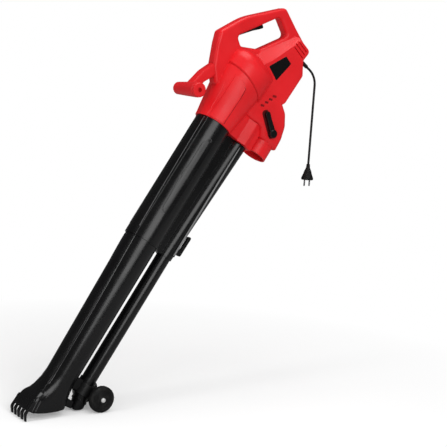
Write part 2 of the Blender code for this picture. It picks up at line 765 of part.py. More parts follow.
HAND_OPENING = behind_collar([
    (0.239, 0.091, 0.009), (0.371, 0.005, 0.009), (0.345, -0.050, 0.010), (0.255, 0.0085, 0.014),
    (0.223, 0.064, 0.010),
])
HANDLE_LOOP = behind_collar([
    (0.090, 0.040, 0.0), (0.090, 0.072, 0.012), (0.122, 0.105, 0.030), (0.183, 0.134, 0.040),
    (0.215, 0.146, 0.014), (0.296, 0.1035, 0.200), (0.405, 0.005, 0.014), (0.381, -0.062, 0.200),
    (0.358, -0.136, 0.010), (0.330, -0.130, 0.010), (0.265, -0.090, 0.0), (0.165, 0.000, 0.0),
])
REAR_BLOCK = behind_collar([
    (0.150, 0.045, 0.0), (0.211, 0.058, 0.012), (0.253, 0.0070, 0.016), (0.345, -0.0515, 0.012),
    (0.361, -0.070, 0.012), (0.352, -0.132, 0.010), (0.315, -0.127, 0.010),
    (0.279, -0.153, 0.012), (0.175, -0.149, 0.020), (0.150, -0.120, 0.0),
])
PLENUM = behind_collar([
    (0.076, -0.040, 0.0), (0.169, -0.050, 0.0), (0.174, -0.140, 0.020), (0.158, -0.167, 0.030),
    (0.127, -0.190, 0.040), (0.090, -0.2010, 0.040), (0.053, -0.2030, 0.0), (0.053, -0.133, 0.0),
    (0.076, -0.117, 0.0),
])


def leaning_ring(behind, radius, lean):
    """A ring round the axis that leans back with its height."""
    return [
        (COLLAR + behind + lean * z, y, z)
        for _, y, z in circle(0, radius, 0, FINE_STEPS)
    ]


def scroll():
    """The fan's scroll: it bulges behind the inlet cone and falls away to the block in a dome that flattens
    towards the block's sides. Each band: behind the collar, half width, top, bottom, squareness, lean."""
    wide = SCROLL_RADIUS
    bands = (
        (SCROLL_FRONT, wide - 0.0025, wide - 0.0025, 0.0025 - wide, 1.00, SCROLL_LEAN),
        (SCROLL_FRONT + 0.0025, wide, wide, -wide, 1.00, SCROLL_LEAN),
        (SCROLL_FRONT + 0.032, wide, wide, -wide, 1.00, 0.25),
        (SCROLL_BACK - 0.012, 0.0737, 0.0737, -0.0785, 0.93, 0.22),
        (SCROLL_BACK, 0.0655, 0.0660, -0.0795, 0.82, 0.20),
        (SCROLL_BACK + 0.011, 0.0545, 0.0540, -0.0810, 0.66, 0.18),
        (SCROLL_BACK + 0.019, 0.0425, 0.0400, -0.0820, 0.55, 0.16),
        (SCROLL_BACK + 0.027, 0.0310, 0.0220, -0.0800, 0.60, 0.16),
        (SCROLL_BACK + 0.036, 0.0160, 0.0040, -0.0700, 0.70, 0.16),
    )
    rings = []
    for behind, half_width, top, bottom, squareness, lean in bands:
        ring = []
        for _, side, up in circle(0, 1, 0, FINE_STEPS):
            height = (top + bottom) / 2 + (top - bottom) / 2 * math.copysign(abs(up) ** squareness, up)
            across = half_width * math.copysign(abs(side) ** squareness, side)
            ring.append((COLLAR + behind + lean * height, across, height))
        rings.append(ring)
    return loft("scroll", rings)


def cone_profile(grow=0.0):
    return [
        (COLLAR, COLLAR_RADIUS + grow), (COLLAR + 0.015, COLLAR_RADIUS + 0.0015 + grow),
        (COLLAR + CONE_LENGTH / 2, (COLLAR_RADIUS + CONE_RADIUS) / 2 + grow),
        (COLLAR + CONE_LENGTH, CONE_RADIUS + grow),
    ]


def cone_panel(side):
    """The raised panel with chamfered edges that runs up one side of the inlet cone from the collar."""
    reach, slope = 0.006, 4.7
    sector = []
    for behind, top, bottom in ((0.003, 36, 85), (0.060, 41, 84), (0.117, 44, 84), (0.127, 44, 70), (0.1335, 44, 62)):
        surface = COLLAR_RADIUS + (CONE_RADIUS - COLLAR_RADIUS) * behind / CONE_LENGTH
        ring = []
        for way in (1, -1):
            first, last = top + way * slope, bottom - way * slope
            turns = [math.radians(first + (last - first) * share / 4) for share in range(5)]
            radius = surface + way * reach
            arc = [(COLLAR + behind, side * radius * math.sin(turn), radius * math.cos(turn)) for turn in turns]
            ring += arc[::way]
        sector.append(ring)
    outer = cone_profile(CONE_PANEL_RISE)
    skin = turned("skin", outer + [(along, radius - 0.005) for along, radius in reversed(outer)], steps=FINE_STEPS)
    return common(loft("panel", sector), skin)


def on_line(line, behind):
    start, height, fall = line
    return height + fall * (behind - start)


def slanted_flank(side):
    """What is taken off the block beside the hand loop: a flank from near the loop's edge down to the crease."""
    near, far = 0.0125, BLOCK_HALF_WIDTH + 0.010
    rings = []
    for behind in (0.195, 0.395):
        ridge, crease = on_line(RIDGE, behind), on_line(CREASE, behind)
        low = ridge - (ridge - crease) * (far - near) / (BLOCK_HALF_WIDTH - near)
        rings.append([
            (COLLAR + behind, side * near, ridge), (COLLAR + behind, side * far, low),
            (COLLAR + behind, side * far, ridge + 0.070), (COLLAR + behind, side * near, ridge + 0.070),
        ])
    return loft("flank", rings)


def housing_shell():
    """The outside of the whole housing, still solid."""
    cone = cone_profile()
    end = COLLAR + CONE_LENGTH + 0.040
    body = turned("cone", [(COLLAR, 0)] + cone + [(end, CONE_RADIUS), (end, 0)], steps=FINE_STEPS)
    join(body, cone_panel(-1), cone_panel(1))
    groove_bands = ((SCROLL_FRONT + 0.001, 0.10), (SCROLL_FRONT + 0.001, CONE_RADIUS - SCROLL_GROOVE),
                    (SCROLL_FRONT - SCROLL_GROOVE, CONE_RADIUS - SCROLL_GROOVE), (SCROLL_FRONT - SCROLL_GROOVE, 0.10))
    rings = [leaning_ring(behind, radius, SCROLL_LEAN) for behind, radius in groove_bands]
    cut(body, closed_loft("groove", rings))
    join(body, scroll())
    rear = prism("rear", [REAR_BLOCK], BLOCK_HALF_WIDTH, BLOCK_EDGE)
    cut(rear, slanted_flank(-1), slanted_flank(1))
    plenum = prism("plenum", [PLENUM], PLENUM_HALF_WIDTH, PLENUM_EDGE, edge_steps=2, corner_steps=4)
    handle = prism("loop", [HANDLE_LOOP, HAND_OPENING], HANDLE_HALF_WIDTH, HANDLE_EDGE, edge_steps=2, corner_steps=4)
    duct = box("duct", (COLLAR + 0.003, -DUCT_HALF_WIDTH, DUCT_BOTTOM),
               (COLLAR + 0.090, DUCT_HALF_WIDTH, -0.040), 0.004)
    port = rod("port", PORT_MOUTH, COLLAR + 0.065, PORT_RADIUS, (0, 0, -PORT_DROP), steps=FINE_STEPS)
    return join(body, plenum, rear, handle, duct, port)


def handle_edge(share, depth=0.0):
    """A place on the hand loop's underside, share metres from its front corner, depth into the bar."""
    front, rear = Vector(HAND_OPENING[0][:2]), Vector(HAND_OPENING[1][:2])
    run = (rear - front).normalized()
    into = Vector((-run.y, run.x))
    return front + run * share + into * depth


def bar_frame():
    """Machine frame to the bar's own frame: x along its underside, z into the bar."""
    origin = handle_edge(0)
    run = (handle_edge(1) - origin).normalized()
    return Matrix.Translation((origin.x, 0, origin.y)) @ Matrix.Rotation(-math.atan2(run.y, run.x), 4, "Y")


def in_bar(obj, title):
    obj.matrix_world = bar_frame()
    return solid(title, obj)


ELECTRIC_FLOOR = -0.112      # of the room for the capacitor and the cord clamp
TRIGGER_START = 0.010
PIN_SHARE = 0.018
PIN_DEPTH = 0.0055
SLOT_DEPTH = 0.0135
SWITCH_START, SWITCH_END = 0.052, 0.080
SWITCH_TOP = 0.0265
BUTTON_SHARE = 0.060
BUTTON_FOOT = 0.0028         # just above the trigger's back
BUTTON_HALF = 0.003


def trigger_outline():
    """Side view of the trigger in the bar's frame: thin at its pin, a blunt finger stop at its far end."""
    end = TRIGGER_START + TRIGGER_LENGTH
    return [
        (TRIGGER_START, 0.009, 0.002), (TRIGGER_START, -0.002, 0.002), (TRIGGER_START + 0.050, -0.006, 0.020),
        (end - 0.012, -0.0105, 0.004), (end, -0.0115, 0.003), (end, 0.0012, 0.001),
        (TRIGGER_START + 0.030, 0.0030, 0.004), (PIN_SHARE + 0.005, 0.009, 0.002),
    ]


def housing_hollow(body):
    """Everything that is open inside the housing."""
    head = COLLAR + TUBE_SOCKET_DEPTH
    tube_seat = loft("seat", [twin_ring(along, GAP) for along in (COLLAR - 0.02, head + GAP)])
    channel = rod("channel", head - 0.001, head + 0.021, SUCTION_RADIUS - TUBE_WALL, steps=FINE_STEPS)
    fan = turned("fan", [
        (head + 0.02, 0), (head + 0.02, SUCTION_RADIUS - TUBE_WALL - 0.001), (IMPELLER_FRONT - 0.005, 0.0580),
        (IMPELLER_FRONT + 0.008, 0.0630), (IMPELLER_FRONT + 0.020, FAN_CHAMBER_RADIUS),
        (PLATE_FRONT, FAN_CHAMBER_RADIUS), (PLATE_FRONT, 0),
    ], steps=FINE_STEPS)
    plate_end = PLATE_FRONT + PLATE_THICKNESS
    plate = rod("plate", PLATE_FRONT - 0.001, plate_end + GAP, FAN_CHAMBER_RADIUS + 0.003 + GAP, steps=FINE_STEPS)
    motor = turned("motor", [
        (plate_end - 0.001, 0), (plate_end - 0.001, STATOR_RADIUS + 0.006), (STATOR_FRONT, STATOR_RADIUS + 0.006),
        (STATOR_FRONT, STATOR_RADIUS + GAP), (STATOR_FRONT + STATOR_LENGTH, STATOR_RADIUS + GAP),
        (STATOR_FRONT + STATOR_LENGTH, STATOR_RADIUS - 0.0015), (COMMUTATOR_FRONT - 0.002, STATOR_RADIUS - 0.0015),
        (COMMUTATOR_FRONT - 0.0018, 0.0140), (REAR_BEARING_FRONT - 0.0008, 0.0140),
        (REAR_BEARING_FRONT - 0.0008, REAR_BEARING_RADIUS + GAP),
        (REAR_BEARING_FRONT + REAR_BEARING_LENGTH + GAP, REAR_BEARING_RADIUS + GAP),
        (REAR_BEARING_FRONT + REAR_BEARING_LENGTH + GAP, 0),
    ])
    brushes = box("brushes", (COMMUTATOR_FRONT - 0.0025, -BRUSH_REACH - GAP, -0.004 - GAP),
                  (REAR_BEARING_FRONT - 0.0015, BRUSH_REACH + GAP, 0.004 + GAP))
    inner = FLAP_HALF_WIDTH + 0.0015
    plenum = prism("room", [behind_collar([
        (0.1185, -0.050, 0.0), (0.1400, -0.050, 0.0), (0.1425, -0.088, 0.010), (0.161, -0.105, 0.012),
        (0.1670, -0.138, 0.015), (0.1525, -0.1640, 0.025), (0.123, -0.1845, 0.035), (0.090, -0.1950, 0.030),
        (0.062, -0.1965, 0.002), (0.062, -0.1390, 0.0), (0.0730, -0.1540, 0.0), (0.0750, -0.1490, 0.0),
        (0.0850, -0.1300, 0.0), (0.0850, -0.0860, 0.003), (0.0890, -0.0890, 0.003), (0.1085, -0.0890, 0.003),
        (0.1090, -0.1070, 0.0), (0.1150, -0.1070, 0.0), (0.1185, -0.0900, 0.0),
    ])], inner)
    drop, radius = blow_head(head)
    duct = rod("duct", head - 0.002, COLLAR + 0.0870, radius - BLOW_WALL, (0, 0, -drop), steps=ROUND_STEPS)
    port = rod("port", PORT_MOUTH - 0.01, COLLAR + 0.0640, PORT_RADIUS - PORT_WALL, (0, 0, -PORT_DROP),
               steps=FINE_STEPS)
    pivot = rod("pivot", -inner, inner, 0.0095, (DIVERTER_ALONG, 0, -DIVERTER_DROP), ACROSS)
    lever_bore = rod("bore", -PLENUM_HALF_WIDTH - 0.01, PLENUM_HALF_WIDTH - 0.0015, SHAFT_RADIUS + RUNNING_GAP,
                     (DIVERTER_ALONG, 0, -DIVERTER_DROP), ACROSS)
    cut(body, tube_seat, channel, fan, plate, motor, brushes, plenum, duct, port, pivot, lever_bore)
    electric = box("electric", (COLLAR + 0.263, -0.030, ELECTRIC_FLOOR), (COLLAR + 0.315, 0.030, -0.068), 0.003)
    relief = relief_skin("relief", GAP)
    cut(body, electric, relief)
    slot = in_bar(box("slot", (TRIGGER_START - 0.002, -TRIGGER_HALF_WIDTH - RUNNING_GAP, -0.03),
                      (TRIGGER_START + TRIGGER_LENGTH + 0.002, TRIGGER_HALF_WIDTH + RUNNING_GAP, SLOT_DEPTH)), "slot")
    switch = in_bar(box("room", (SWITCH_START - GAP, -TRIGGER_HALF_WIDTH - GAP, SLOT_DEPTH - 0.001),
                        (SWITCH_END + GAP, TRIGGER_HALF_WIDTH + GAP, SWITCH_TOP + GAP)), "room")
    pin = in_bar(rod("pin", -PIN_HALF_LENGTH - GAP, PIN_HALF_LENGTH + GAP, TRIGGER_PIN_RADIUS + GAP,
                     (PIN_SHARE, 0, PIN_DEPTH), ACROSS), "pin")
    cut(body, slot, switch, pin)
    cut(body, arm_body("arm", GAP), badge_body("badge", GAP, 3 * BADGE_THICKNESS))
    return body


BADGE = behind_collar([(0.2106, -0.0773, 0.003), (0.2272, -0.0325, 0.003), (0.2848, -0.0642, 0.003),
                       (0.2786, -0.0909, 0.003)])
BADGE_THICKNESS = 0.0016
BADGE_DEPTH = 0.0010


def badge_body(title, grow=0.0, depth=BADGE_THICKNESS):
    """The badge, or the field that it is set in."""
    inner = BADGE_DEPTH - BLOCK_HALF_WIDTH + grow
    return prism(title, [BADGE], depth / 2, middle=inner - depth / 2, grow=grow)


def relief_skin(title, grow=0.0):
    """The strain relief's flanged root and tapered tail."""
    root = RELIEF_DROP
    inner_end = root - 0.012
    profile = [
        (inner_end - grow, 0), (inner_end - grow, 0.0085 + grow), (inner_end + 0.003 + grow, 0.0085 + grow),
        (inner_end + 0.003 + grow, 0.0062 + grow), (root + 0.003, 0.0062 + grow),
        (root + RELIEF_LENGTH, 0.0048 + grow), (root + RELIEF_LENGTH, 0),
    ]
    return turned(title, [(-along, radius) for along, radius in profile], (RELIEF_ALONG, 0, 0), Matrix.Identity(4))


def sunk_slots(title, places, size, half_width, tilt):
    """Blind slots in both sides of the housing at places (along, height), leaning by tilt degrees."""
    low, high = [-value / 2 for value in size], [value / 2 for value in size]
    slots = []
    for x, z in places:
        for side in (-1, 1):
            slot = box(title, low, high)
            slot.matrix_world = (Matrix.Translation((x, side * half_width, z))
                                 @ Matrix.Rotation(math.radians(tilt), 4, "Y"))
            slots.append(solid(title, slot))
    return slots


def vents(body):
    """Cooling slots beside the motor and louvres at the rear."""
    beside = [(COLLAR + 0.1257 + number * 0.0153, -0.0800 - number * 0.0068) for number in range(4)]
    rear = [(COLLAR + 0.3205 + number * 0.0110, -0.0935) for number in range(3)]
    slots = sunk_slots("vent", beside, (0.0060, 0.0083, 0.0130), PLENUM_HALF_WIDTH, -24)
    slots += sunk_slots("louvre", rear, (0.0040, 0.0100, 0.0450), BLOCK_HALF_WIDTH, 9)
    cut(body, together("slots", slots))
    return body


def housings(finish):
    body = housing_hollow(housing_shell())
    vents(body)
    low, high = Vector((COLLAR - 0.04, 0, -0.25)), Vector((COLLAR + 0.46, 0, 0.20))
    depth = Vector((0, 0.1, 0))
    split = Vector((0, GAP / 2, 0))
    left = copy_of(body, "left")
    cut(left, box("far", low - split, high + depth))
    piece(left, "left_housing", finish)
    cut(body, box("near", low - depth, high + split))
    return piece(body, "right_housing", finish)


# Cross handle
def arm_body(title, grow=0.0):
    root = COLLAR + 0.135 + grow
    outline = [
        (root, 0.080 - grow, 0.0), (root, 0.108 + grow, 0.0), (GRIP_ALONG + 0.064, 0.1255 + grow, 0.030),
        (GRIP_ALONG, GRIP_HEIGHT + 0.012 + grow, 0.0), (GRIP_ALONG, GRIP_HEIGHT - 0.012 - grow, 0.0),
        (GRIP_ALONG + 0.046, 0.100 - grow, 0.030), (GRIP_ALONG + 0.084, 0.080 - grow, 0.0),
    ]
    return prism(title, [outline], ARM_HALF_WIDTH + grow, 0.007)


def front_handle(finish):
    body = arm_body("arm")
    length = GRIP_FAR - GRIP_NEAR
    profile = [(GRIP_NEAR, 0), (GRIP_NEAR, GRIP_NEAR_RADIUS - 0.003), (GRIP_NEAR + 0.002, GRIP_NEAR_RADIUS - 0.0008),
               (GRIP_NEAR + 0.008, GRIP_NEAR_RADIUS - 0.0008), (GRIP_NEAR + 0.009, GRIP_NEAR_RADIUS - 0.0020),
               (GRIP_NEAR + 0.010, GRIP_NEAR_RADIUS - 0.0020), (GRIP_NEAR + 0.011, GRIP_NEAR_RADIUS)]
    for step in range(1, 6):
        share = step / 5
        radius = GRIP_NEAR_RADIUS + (GRIP_FAR_RADIUS - GRIP_NEAR_RADIUS) * share ** 1.3
        profile.append((GRIP_NEAR + 0.011 + (length - 0.015) * share, radius))
    profile += [(GRIP_FAR - 0.0012, GRIP_FAR_RADIUS - 0.0015), (GRIP_FAR, GRIP_FAR_RADIUS - 0.005), (GRIP_FAR, 0)]
    centre = (GRIP_ALONG, 0, GRIP_HEIGHT)
    join(body, turned("grip", profile, centre, ACROSS))
    cut(body, rod("recess", GRIP_NEAR - 0.01, GRIP_NEAR + 0.012, 0.0065, centre, ACROSS))
    return piece(body, "front_handle", finish)


# Fan and motor
def impeller(finish):
    """Back plate, hub and backward swept blades in one moulding."""
    hub_bore = SHAFT_RADIUS + GAP
    body = turned("hub", [
        (IMPELLER_FRONT, hub_bore), (IMPELLER_FRONT, 0.010), (IMPELLER_FRONT + 0.012, 0.013),
        (IMPELLER_BACK - 0.010, 0.022), (IMPELLER_BACK - 0.003, IMPELLER_RADIUS),
        (IMPELLER_BACK, IMPELLER_RADIUS), (IMPELLER_BACK, hub_bore),
    ], steps=FINE_STEPS)
    start, steps = 0.014, 4
    blades = []
    for number in range(BLADE_COUNT):
        turn = math.tau * number / BLADE_COUNT
        rings = []
        for step in range(steps + 1):
            share = step / steps
            radius = start + (IMPELLER_RADIUS - 0.001 - start) * share
            angle = turn + math.radians(BLADE_SWEEP) * share ** 1.4
            lean = math.radians(90) + angle - math.radians(BLADE_SWEEP) * 0.6
            middle = Vector((0, radius * math.sin(angle), radius * math.cos(angle)))
            offset = Vector((0, math.sin(lean), math.cos(lean))) * BLADE_THICKNESS / 2
            front = IMPELLER_FRONT + 0.004 + 0.010 * share
            back = IMPELLER_BACK - 0.001
            rings.append([
                (front, *(middle - offset).yz), (front, *(middle + offset).yz),
                (back, *(middle + offset).yz), (back, *(middle - offset).yz),
            ])
        blades.append(loft("blade", rings))
    return piece(join(body, together("blades", blades)), "impeller", finish)


def motor(steel, copper, black, brass, finish):
    nut_front = IMPELLER_FRONT - 0.009
    bm = bmesh.new()
    bmesh.ops.create_cone(bm, cap_ends=True, segments=6, radius1=0.0085, radius2=0.0085, depth=0.009 - GAP)
    mesh = bpy.data.meshes.new("nut")
    bm.to_mesh(mesh)
    bm.free()
    nut = linked("nut", mesh)
    nut.matrix_world = Matrix.Translation((nut_front + (0.009 - GAP) / 2, 0, 0)) @ ALONG
    nut = solid("nut", nut)
    shaft_front = nut_front + 0.003
    cut(nut, rod("bore", shaft_front - GAP, IMPELLER_FRONT + 0.001, SHAFT_RADIUS + GAP))
    piece(nut, "impeller_nut", brass)
    shaft_end = REAR_BEARING_FRONT + REAR_BEARING_LENGTH
    piece(rod("shaft", shaft_front, shaft_end, SHAFT_RADIUS), "motor_shaft", steel)
    bore = SHAFT_RADIUS + GAP
    seat_front = PLATE_FRONT + 0.0008
    plate = turned("plate", [
        (PLATE_FRONT + GAP, 0.0080), (PLATE_FRONT + GAP, FAN_CHAMBER_RADIUS + 0.003),
        (PLATE_FRONT + PLATE_THICKNESS, FAN_CHAMBER_RADIUS + 0.003), (PLATE_FRONT + PLATE_THICKNESS, 0.020),
        (seat_front + FRONT_BEARING_LENGTH, 0.016), (seat_front + FRONT_BEARING_LENGTH, FRONT_BEARING_RADIUS + GAP),
        (seat_front, FRONT_BEARING_RADIUS + GAP), (seat_front, 0.0080),
    ], steps=FINE_STEPS)
    piece(plate, "motor_plate", black)
    piece(tube("bearing", seat_front + GAP, seat_front + FRONT_BEARING_LENGTH, FRONT_BEARING_RADIUS, bore),
          "front_bearing", steel)
    piece(tube("bearing", REAR_BEARING_FRONT, shaft_end, REAR_BEARING_RADIUS, bore), "rear_bearing", steel)
    stator_end = STATOR_FRONT + STATOR_LENGTH - GAP
    stator = tube("stator", STATOR_FRONT + GAP, stator_end, STATOR_RADIUS, STATOR_BORE, steps=ROUND_STEPS)
    for side in (-1, 1):
        slot = box("slot", (STATOR_FRONT - 0.01, side * 0.015, -0.006), (stator_end + 0.01, side * 0.024, 0.006))
        cut(stator, slot)
    piece(stator, "motor_stator", finish)
    ends = ((STATOR_FRONT - WINDING_LENGTH, STATOR_FRONT, "field_winding_front"),
            (stator_end + GAP, stator_end + GAP + WINDING_LENGTH - 0.001, "field_winding_rear"))
    for start, end, title in ends:
        coil = turned(title, [
            (start, 0.0205), (start, 0.0258), (start + 0.002, 0.0275), (end - 0.002, 0.0275), (end, 0.0262),
            (end, 0.0200),
        ], steps=ROUND_STEPS)
        piece(coil, title, copper)
    core_front, core_end = STATOR_FRONT - 0.001, stator_end + 0.001
    armature = turned("armature", [
        (core_front - 0.008, bore), (core_front - 0.008, 0.0120), (core_front, 0.0150),
        (core_front, STATOR_BORE - RUNNING_GAP), (core_end, STATOR_BORE - RUNNING_GAP), (core_end, 0.0150),
        (core_end + 0.008, 0.0120), (core_end + 0.008, bore),
    ], steps=ROUND_STEPS)
    grooves = []
    for number in range(ARMATURE_SLOTS):
        groove = box("groove", (core_front - 0.001, -0.0011, 0.0158), (core_end + 0.001, 0.0011, 0.022))
        groove.matrix_world = Matrix.Rotation(math.tau * number / ARMATURE_SLOTS, 4, "X")
        grooves.append(solid("groove", groove))
    cut(armature, together("grooves", grooves))
    piece(armature, "armature", copper)
    commutator_end = COMMUTATOR_FRONT + COMMUTATOR_LENGTH
    piece(tube("commutator", COMMUTATOR_FRONT, commutator_end, COMMUTATOR_RADIUS, bore), "commutator", brass)
    for side, title in ((-1, "brush_holder_left"), (1, "brush_holder_right")):
        edges = sorted((side * (COMMUTATOR_RADIUS + GAP), side * BRUSH_REACH))
        holder = box(title, (COMMUTATOR_FRONT + 0.0015, edges[0], -0.004),
                     (commutator_end - 0.0015, edges[1], 0.004))
        piece(holder, title, brass)


# Diverter
def swung(obj, title, angle):
    """Turns a piece made along the axis to the diverter's angle and places it on its shaft."""
    obj.matrix_world = (Matrix.Translation((DIVERTER_ALONG, 0, -DIVERTER_DROP))
                        @ Matrix.Rotation(-math.radians(angle), 4, "Y"))
    return solid(title, obj)


def diverter(steel, black, finish):
    centre = (DIVERTER_ALONG, 0, -DIVERTER_DROP)
    bore = SHAFT_RADIUS + GAP
    flap = rod("hub", -FLAP_HALF_WIDTH, FLAP_HALF_WIDTH, 0.0080, axis=ACROSS)
    blade = box("blade", (0.004, -FLAP_HALF_WIDTH, -FLAP_THICKNESS / 2),
                (FLAP_REACH, FLAP_HALF_WIDTH, FLAP_THICKNESS / 2), 0.001)
    join(flap, blade)
    cut(flap, rod("bore", -0.05, 0.05, bore, axis=ACROSS))
    piece(swung(flap, "flap", FLAP_ANGLE), "diverter_flap", black, centre)
    lever_inner = PLENUM_HALF_WIDTH + RUNNING_GAP
    lever_outer = lever_inner + LEVER_THICKNESS
    shaft_outer = lever_outer - 0.003
    piece(rod("shaft", -shaft_outer, PLENUM_HALF_WIDTH - 0.0025, SHAFT_RADIUS, centre, ACROSS),
          "diverter_shaft", steel, centre)
    half = LEVER_WIDTH / 2
    middle = -(lever_inner + lever_outer) / 2
    lever = prism("lever", [[
        (-0.002, -half, 0.0), (LEVER_REACH - 0.020, -half * 0.80, 0.02), (LEVER_REACH, -half * 0.95, half * 0.9),
        (LEVER_REACH, half * 0.95, half * 0.9), (LEVER_REACH - 0.020, half * 0.80, 0.02), (-0.002, half, 0.0),
    ]], LEVER_THICKNESS / 2, 0.0022, middle)
    knob = turned("knob", [
        (-lever_inner, 0), (-lever_inner, LEVER_HUB_RADIUS), (-lever_outer, LEVER_HUB_RADIUS),
        (-lever_outer - 0.002, LEVER_HUB_RADIUS - 0.002), (-lever_outer - 0.002, 0),
    ], axis=ACROSS)
    join(lever, knob)
    cut(lever, rod("bore", -shaft_outer - GAP, -lever_inner + 0.01, bore, axis=ACROSS))
    piece(swung(lever, "lever", LEVER_ANGLE), "mode_lever", finish, centre)


# Trigger and switch
def trigger_spring(finish, origin):
    """A torsion spring coiled round the pin: one leg lies in the trigger, the other presses on the slot's roof."""
    steps = 8
    total = SPRING_TURNS * steps
    points = []
    for step in range(total + 1):
        angle = math.tau * step / steps
        across = SPRING_HALF_WIDTH * (2 * step / total - 1)
        points.append(Vector((SPRING_COIL_RADIUS * math.sin(angle), across, SPRING_COIL_RADIUS * math.cos(angle))))
    centre = Vector((PIN_SHARE, 0, PIN_DEPTH))
    leg = Vector((0.007, 0, 0))
    pitch = [(points[i + steps] - points[i]).length for i in range(len(points) - steps)]
    print(f"trigger spring: least gap between its turns {1000 * (min(pitch) - 2 * SPRING_WIRE_RADIUS):.2f} mm")
    points = [points[0] - leg] + points + [points[-1] + leg]
    curve = bpy.data.curves.new("spring", "CURVE")
    curve.dimensions = "3D"
    curve.bevel_depth = SPRING_WIRE_RADIUS
    curve.bevel_resolution = 1
    curve.use_fill_caps = True
    spline = curve.splines.new("POLY")
    spline.points.add(len(points) - 1)
    for point, place in zip(spline.points, points):
        point.co = (*(place + centre), 1)
    piece(in_bar(linked("spring", curve), "spring"), "trigger_spring", finish, origin)


def trigger_group(black, steel):
    body = in_bar(prism("trigger", [trigger_outline()], TRIGGER_HALF_WIDTH, 0.0012, edge_steps=0), "trigger")
    pin_axis = (PIN_SHARE, 0, PIN_DEPTH)
    cut(body, in_bar(rod("bore", -0.02, 0.02, TRIGGER_PIN_RADIUS + GAP, pin_axis, ACROSS), "bore"))
    room = SPRING_HALF_WIDTH + SPRING_WIRE_RADIUS + GAP
    cut(body, in_bar(box("room", (PIN_SHARE - 0.015, -room, -0.010), (PIN_SHARE + 0.0115, room, 0.020)), "room"))
    origin = bar_frame() @ Vector(pin_axis)
    piece(body, "trigger", black, origin)
    trigger_spring(steel, origin)
    pin = in_bar(rod("pin", -PIN_HALF_LENGTH, PIN_HALF_LENGTH, TRIGGER_PIN_RADIUS, pin_axis, ACROSS), "pin")
    piece(pin, "trigger_pin", steel, origin)
    switch = in_bar(box("switch", (SWITCH_START, -TRIGGER_HALF_WIDTH, SLOT_DEPTH),
                        (SWITCH_END, TRIGGER_HALF_WIDTH, SWITCH_TOP), 0.0008), "switch")
    room_half = BUTTON_HALF + GAP
    room = in_bar(box("room", (BUTTON_SHARE - room_half, -room_half, SLOT_DEPTH - 0.01),
                      (BUTTON_SHARE + room_half, room_half, SLOT_DEPTH + 0.009)), "room")
    piece(cut(switch, room), "switch_body", black)
    button = in_bar(box("button", (BUTTON_SHARE - BUTTON_HALF, -BUTTON_HALF, BUTTON_FOOT),
                        (BUTTON_SHARE + BUTTON_HALF, BUTTON_HALF, SLOT_DEPTH + 0.0030), 0.0006), "button")
    piece(button, "switch_button", black, bar_frame() @ Vector((BUTTON_SHARE, 0, 0.010)))


def electrics(finish, black):
    low = ELECTRIC_FLOOR + GAP
    can = box("can", (COLLAR + 0.271, -0.009, low), (COLLAR + 0.293, 0.009, low + 0.016), 0.0015)
    piece(can, "suppression_capacitor", finish)
    clamp = box("clamp", (COLLAR + 0.299, -0.013, low), (COLLAR + 0.311, 0.013, low + 0.007), 0.001)
    groove = rod("groove", COLLAR + 0.295, COLLAR + 0.315, CORD_RADIUS, (0, 0, low + 0.009))
    piece(cut(clamp, groove), "cord_clamp", black)


# Cord
def cord_route(lean):
    """Points of the cord's centre line in the machine's frame, hanging straight down from the strain relief."""
    start = Vector((RELIEF_ALONG, 0, -RELIEF_DROP - RELIEF_LENGTH - GAP))
    out = Vector((0, 0, -1))
    down = Vector((-math.sin(lean), 0, -math.cos(lean)))
    sweep = out.angle(down)
    side = (down - out * math.cos(sweep)).normalized()
    straight, bend = 0.012, 0.055
    points = [start, start + out * straight]
    steps = 10
    for step in range(1, steps + 1):
        turn = sweep * step / steps
        points.append(start + out * (straight + bend * math.sin(turn)) + side * bend * (1 - math.cos(turn)))
    rest = CORD_LENGTH - straight - bend * sweep
    pieces = 14
    corner = points[-1]
    for step in range(1, pieces + 1):
        points.append(corner + down * rest * step / pieces)
    return points, down


def cord_group(lean, black, steel):
    points, down = cord_route(lean)
    curve = bpy.data.curves.new("cord", "CURVE")
    curve.dimensions = "3D"
    curve.bevel_depth = CORD_RADIUS
    curve.bevel_resolution = 3
    curve.use_fill_caps = True
    spline = curve.splines.new("POLY")
    spline.points.add(len(points) - 1)
    for point, place in zip(spline.points, points):
        point.co = (*place, 1)
    piece(solid("cord", linked("cord", curve)), "power_cord", black)
    end = points[-1]
    facing = Matrix.Translation(end) @ down.to_track_quat("Z", "Y").to_matrix().to_4x4()
    body = turned("plug", [
        (GAP, 0), (GAP, 0.0052), (0.012, 0.0062), (0.020, 0.0100), (0.032, 0.0140), (0.041, 0.0178), (0.046, 0.0180),
        (0.0475, 0.0165), (0.0475, 0),
    ], axis=facing)
    piece(body, "plug_body", black)
    for side, title in ((-1, "plug_pin_left"), (1, "plug_pin_right")):
        pin = turned(title, [
            (0.0475 + GAP, 0), (0.0475 + GAP, PIN_RADIUS), (0.0650, PIN_RADIUS), (0.0665, PIN_RADIUS * 0.6), (0.0665, 0),
        ], axis=facing @ Matrix.Translation((0, side * 0.0095, 0)), steps=SMALL_STEPS)
        piece(pin, title, steel)


def stand_up(lean):
    """Leans the machine over and puts the middle of its footprint at the origin."""
    stance = bpy.data.objects.new("stance", None)
    PARTS.objects.link(stance)
    turn = Matrix.Rotation(-lean, 4, "Y")
    corners = []
    for obj in PARTS.objects:
        if obj.type != "MESH":
            continue
        obj.parent = stance
        if obj.name.startswith(("power_cord", "plug_", "strain_")):
            continue
        corners += [turn @ (obj.matrix_basis @ vertex.co) for vertex in obj.data.vertices]
    low = Vector([min(c[i] for c in corners) for i in range(3)])
    high = Vector([max(c[i] for c in corners) for i in range(3)])
    stance.matrix_world = Matrix.Translation((-(low.x + high.x) / 2, -(low.y + high.y) / 2, -low.z)) @ turn


